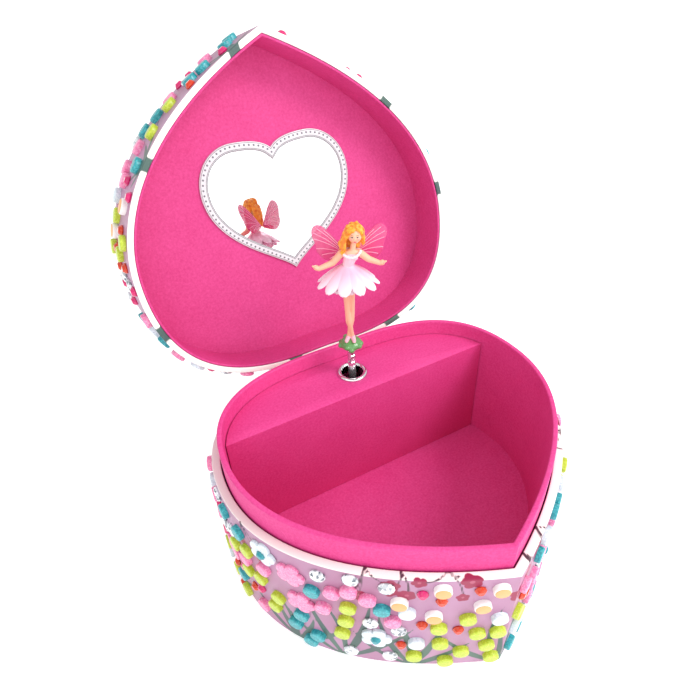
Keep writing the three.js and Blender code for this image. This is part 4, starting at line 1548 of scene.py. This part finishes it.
def cad_stickers():
    """Kind, place and tone of the stickers that are CAD nodes, by node."""
    slots = {row["node"]: row["material_slot"] for row in frame["record"]["subparts"]}
    found = {}
    for node in sorted(n for n in frame["nodes"] if n.startswith("sticker_")):
        low, high = (np.array(c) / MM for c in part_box(node))
        x, y, z = (low + high) / 2
        nearest = np.argmin(np.hypot(WALL_LINE[:, 0] - abs(x), WALL_LINE[:, 1] - y))
        family, word = slots[node].split("_")
        kind = "g" if family == "gem" else "f" if high[2] - low[2] > FLOWER_HIGH else "o"
        found[node] = (kind, math.copysign(nearest / WALL_STEPS * HALF_LENGTH, x), z, word)
    return found


own = cad_stickers()
placed = list(own.values())
for (kind, word), places in SHOWN_SIDE.items():
    for share, height in places:
        s, z = -share / 1000 * HALF_LENGTH, height / 100 * TRAY_HEIGHT
        if clear(placed, kind, s, z):
            placed.append((kind, s, z, word))
scatter(placed, TRAY_HEIGHT, tries=2600, seed=11, kept=(-SHOWN_STRETCH * HALF_LENGTH, 0))
lid_placed = scatter([], LID_TOP - LID_EDGE, tries=420, seed=23)
more = len(placed) - len(own)
print("places:", len(own), "from the CAD,", more, "more on the tray,", len(lid_placed), "on the lid")

# %% [markdown]
# Each sticker lies flat on the wall, so its pattern's Z points straight out and its Y points up. Stickers
# that the CAD has are laid one by one, because each stands for its own node. The others are laid as one
# mesh for each kind, colour and body, which keeps the scene light.

# %% Lay the stickers
WALL_NAMES = {"box": "tray", "lid": "lid"}


def laid(name, rows, stud, finish, body, slot, lift=0.0):
    """One mesh of a stud at every row's place, on the tray or on the lid."""
    frames = [wall_frame(s, z + lift) for _, s, z, _ in rows]
    places = np.array([place for place, _ in frames])
    outs = np.array([out for _, out in frames], float)
    ups = np.tile((0.0, 0.0, 1.0), (len(rows), 1))
    if body == "lid":
        places, outs, ups = thrown_back(places), aimed_back(outs), aimed_back(ups)
    return dress(studded(name, places, outs, ups, stud, finish), body, slot)


def lay_stickers(rows, body, lift):
    """All stickers of a wall, one mesh for each kind and tone."""
    for kind, word in sorted({(row[0], row[3]) for row in rows}):
        same = [row for row in rows if (row[0], row[3]) == (kind, word)]
        name, slot = f"{WALL_NAMES[body]}_{word}_{kind}", slot_for(kind, word)
        laid(name, same, PATTERNS[kind], FINISHES[kind, word], body, slot, lift)
        if word == "peach":
            laid(f"{name}_face", same, FOAM_FACE, FACE_PEACH, body, slot, lift)


for node, row in own.items():
    kind, _, _, word = row
    name, slot = node.replace("sticker", "trim"), slot_for(kind, word)
    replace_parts(laid(name, [row], PATTERNS[kind], FINISHES[kind, word], "box", slot), node)
peach = [row for row in own.values() if row[3] == "peach"]
laid("tray_own_faces", peach, FOAM_FACE, FACE_PEACH, "box", "sticker_peach")
white = [row for row in own.values() if row[0] == "f" and row[3] == "white"]
laid("tray_flower_gems", white, FLOWER_GEM, FINISHES["g", "teal"], "box", "sticker_teal")
lay_stickers(placed[len(own):], "box", 0.0)
lay_stickers(lid_placed, "lid", LID_EDGE)
print("laid:", len(placed) + len(lid_placed), "stickers")

# %% [markdown]
# A product photo on white: a pale floor that runs out of sight, a large soft light from the front right, a
# weaker one from the left and a bright even sky. A white reflector stands in front, out of the picture,
# because the lid's mirror would otherwise show a dark room.

# %% Stage and light
FLOOR_REACH = 3000
REFLECTOR = ((-1500, -2400, 2000), (3200, -2400, 2000), (3200, -2400, 0), (-1500, -2400, 0))
TARGET = (0, 0.02, 0.08)
# Place and size in metres, power in watts.
LIGHTS = {"key": ((0.6, -0.62, 1.0), 0.5, 9.0), "fill": ((-0.8, -0.5, 0.9), 1.0, 2.5)}
SKY_STRENGTH = 0.88


def stage_plane(name, corners, white, glow):
    """A white plane that shines a little, on the stage and not part of the box."""
    f = Finish(f"white_{name}")
    f.set(Base_Color=(white, white, white, 1), Roughness=0.9)
    f.set(Emission_Color=(1, 1, 1, 1), Emission_Strength=glow)
    to_object(name, corners, [(0, 1, 2, 3)], f.material)


def area_light(name, place, size, power):
    data = bpy.data.lights.new(name, "AREA")
    data.size = size
    data.energy = power
    made = bpy.data.objects.new(name, data)
    made.location = place
    made.rotation_euler = (Vector(TARGET) - Vector(place)).to_track_quat("-Z", "Y").to_euler()
    bpy.context.collection.objects.link(made)


r = FLOOR_REACH
stage_plane("floor", [(-r, -r, 0), (r, -r, 0), (r, r, 0), (-r, r, 0)], white=0.95, glow=0.4)
stage_plane("reflector", REFLECTOR, white=0.9, glow=0.7)
for name, values in LIGHTS.items():
    area_light(name, *values)
world = bpy.data.worlds.new("sky")
world.use_nodes = True
sky = world.node_tree.nodes["Background"].inputs
sky["Color"].default_value = (1, 1, 1, 1)
sky["Strength"].default_value = SKY_STRENGTH
bpy.context.scene.world = world
bpy.context.scene.view_settings.view_transform = "Standard"
print("lights:", ", ".join(LIGHTS), "and the sky")
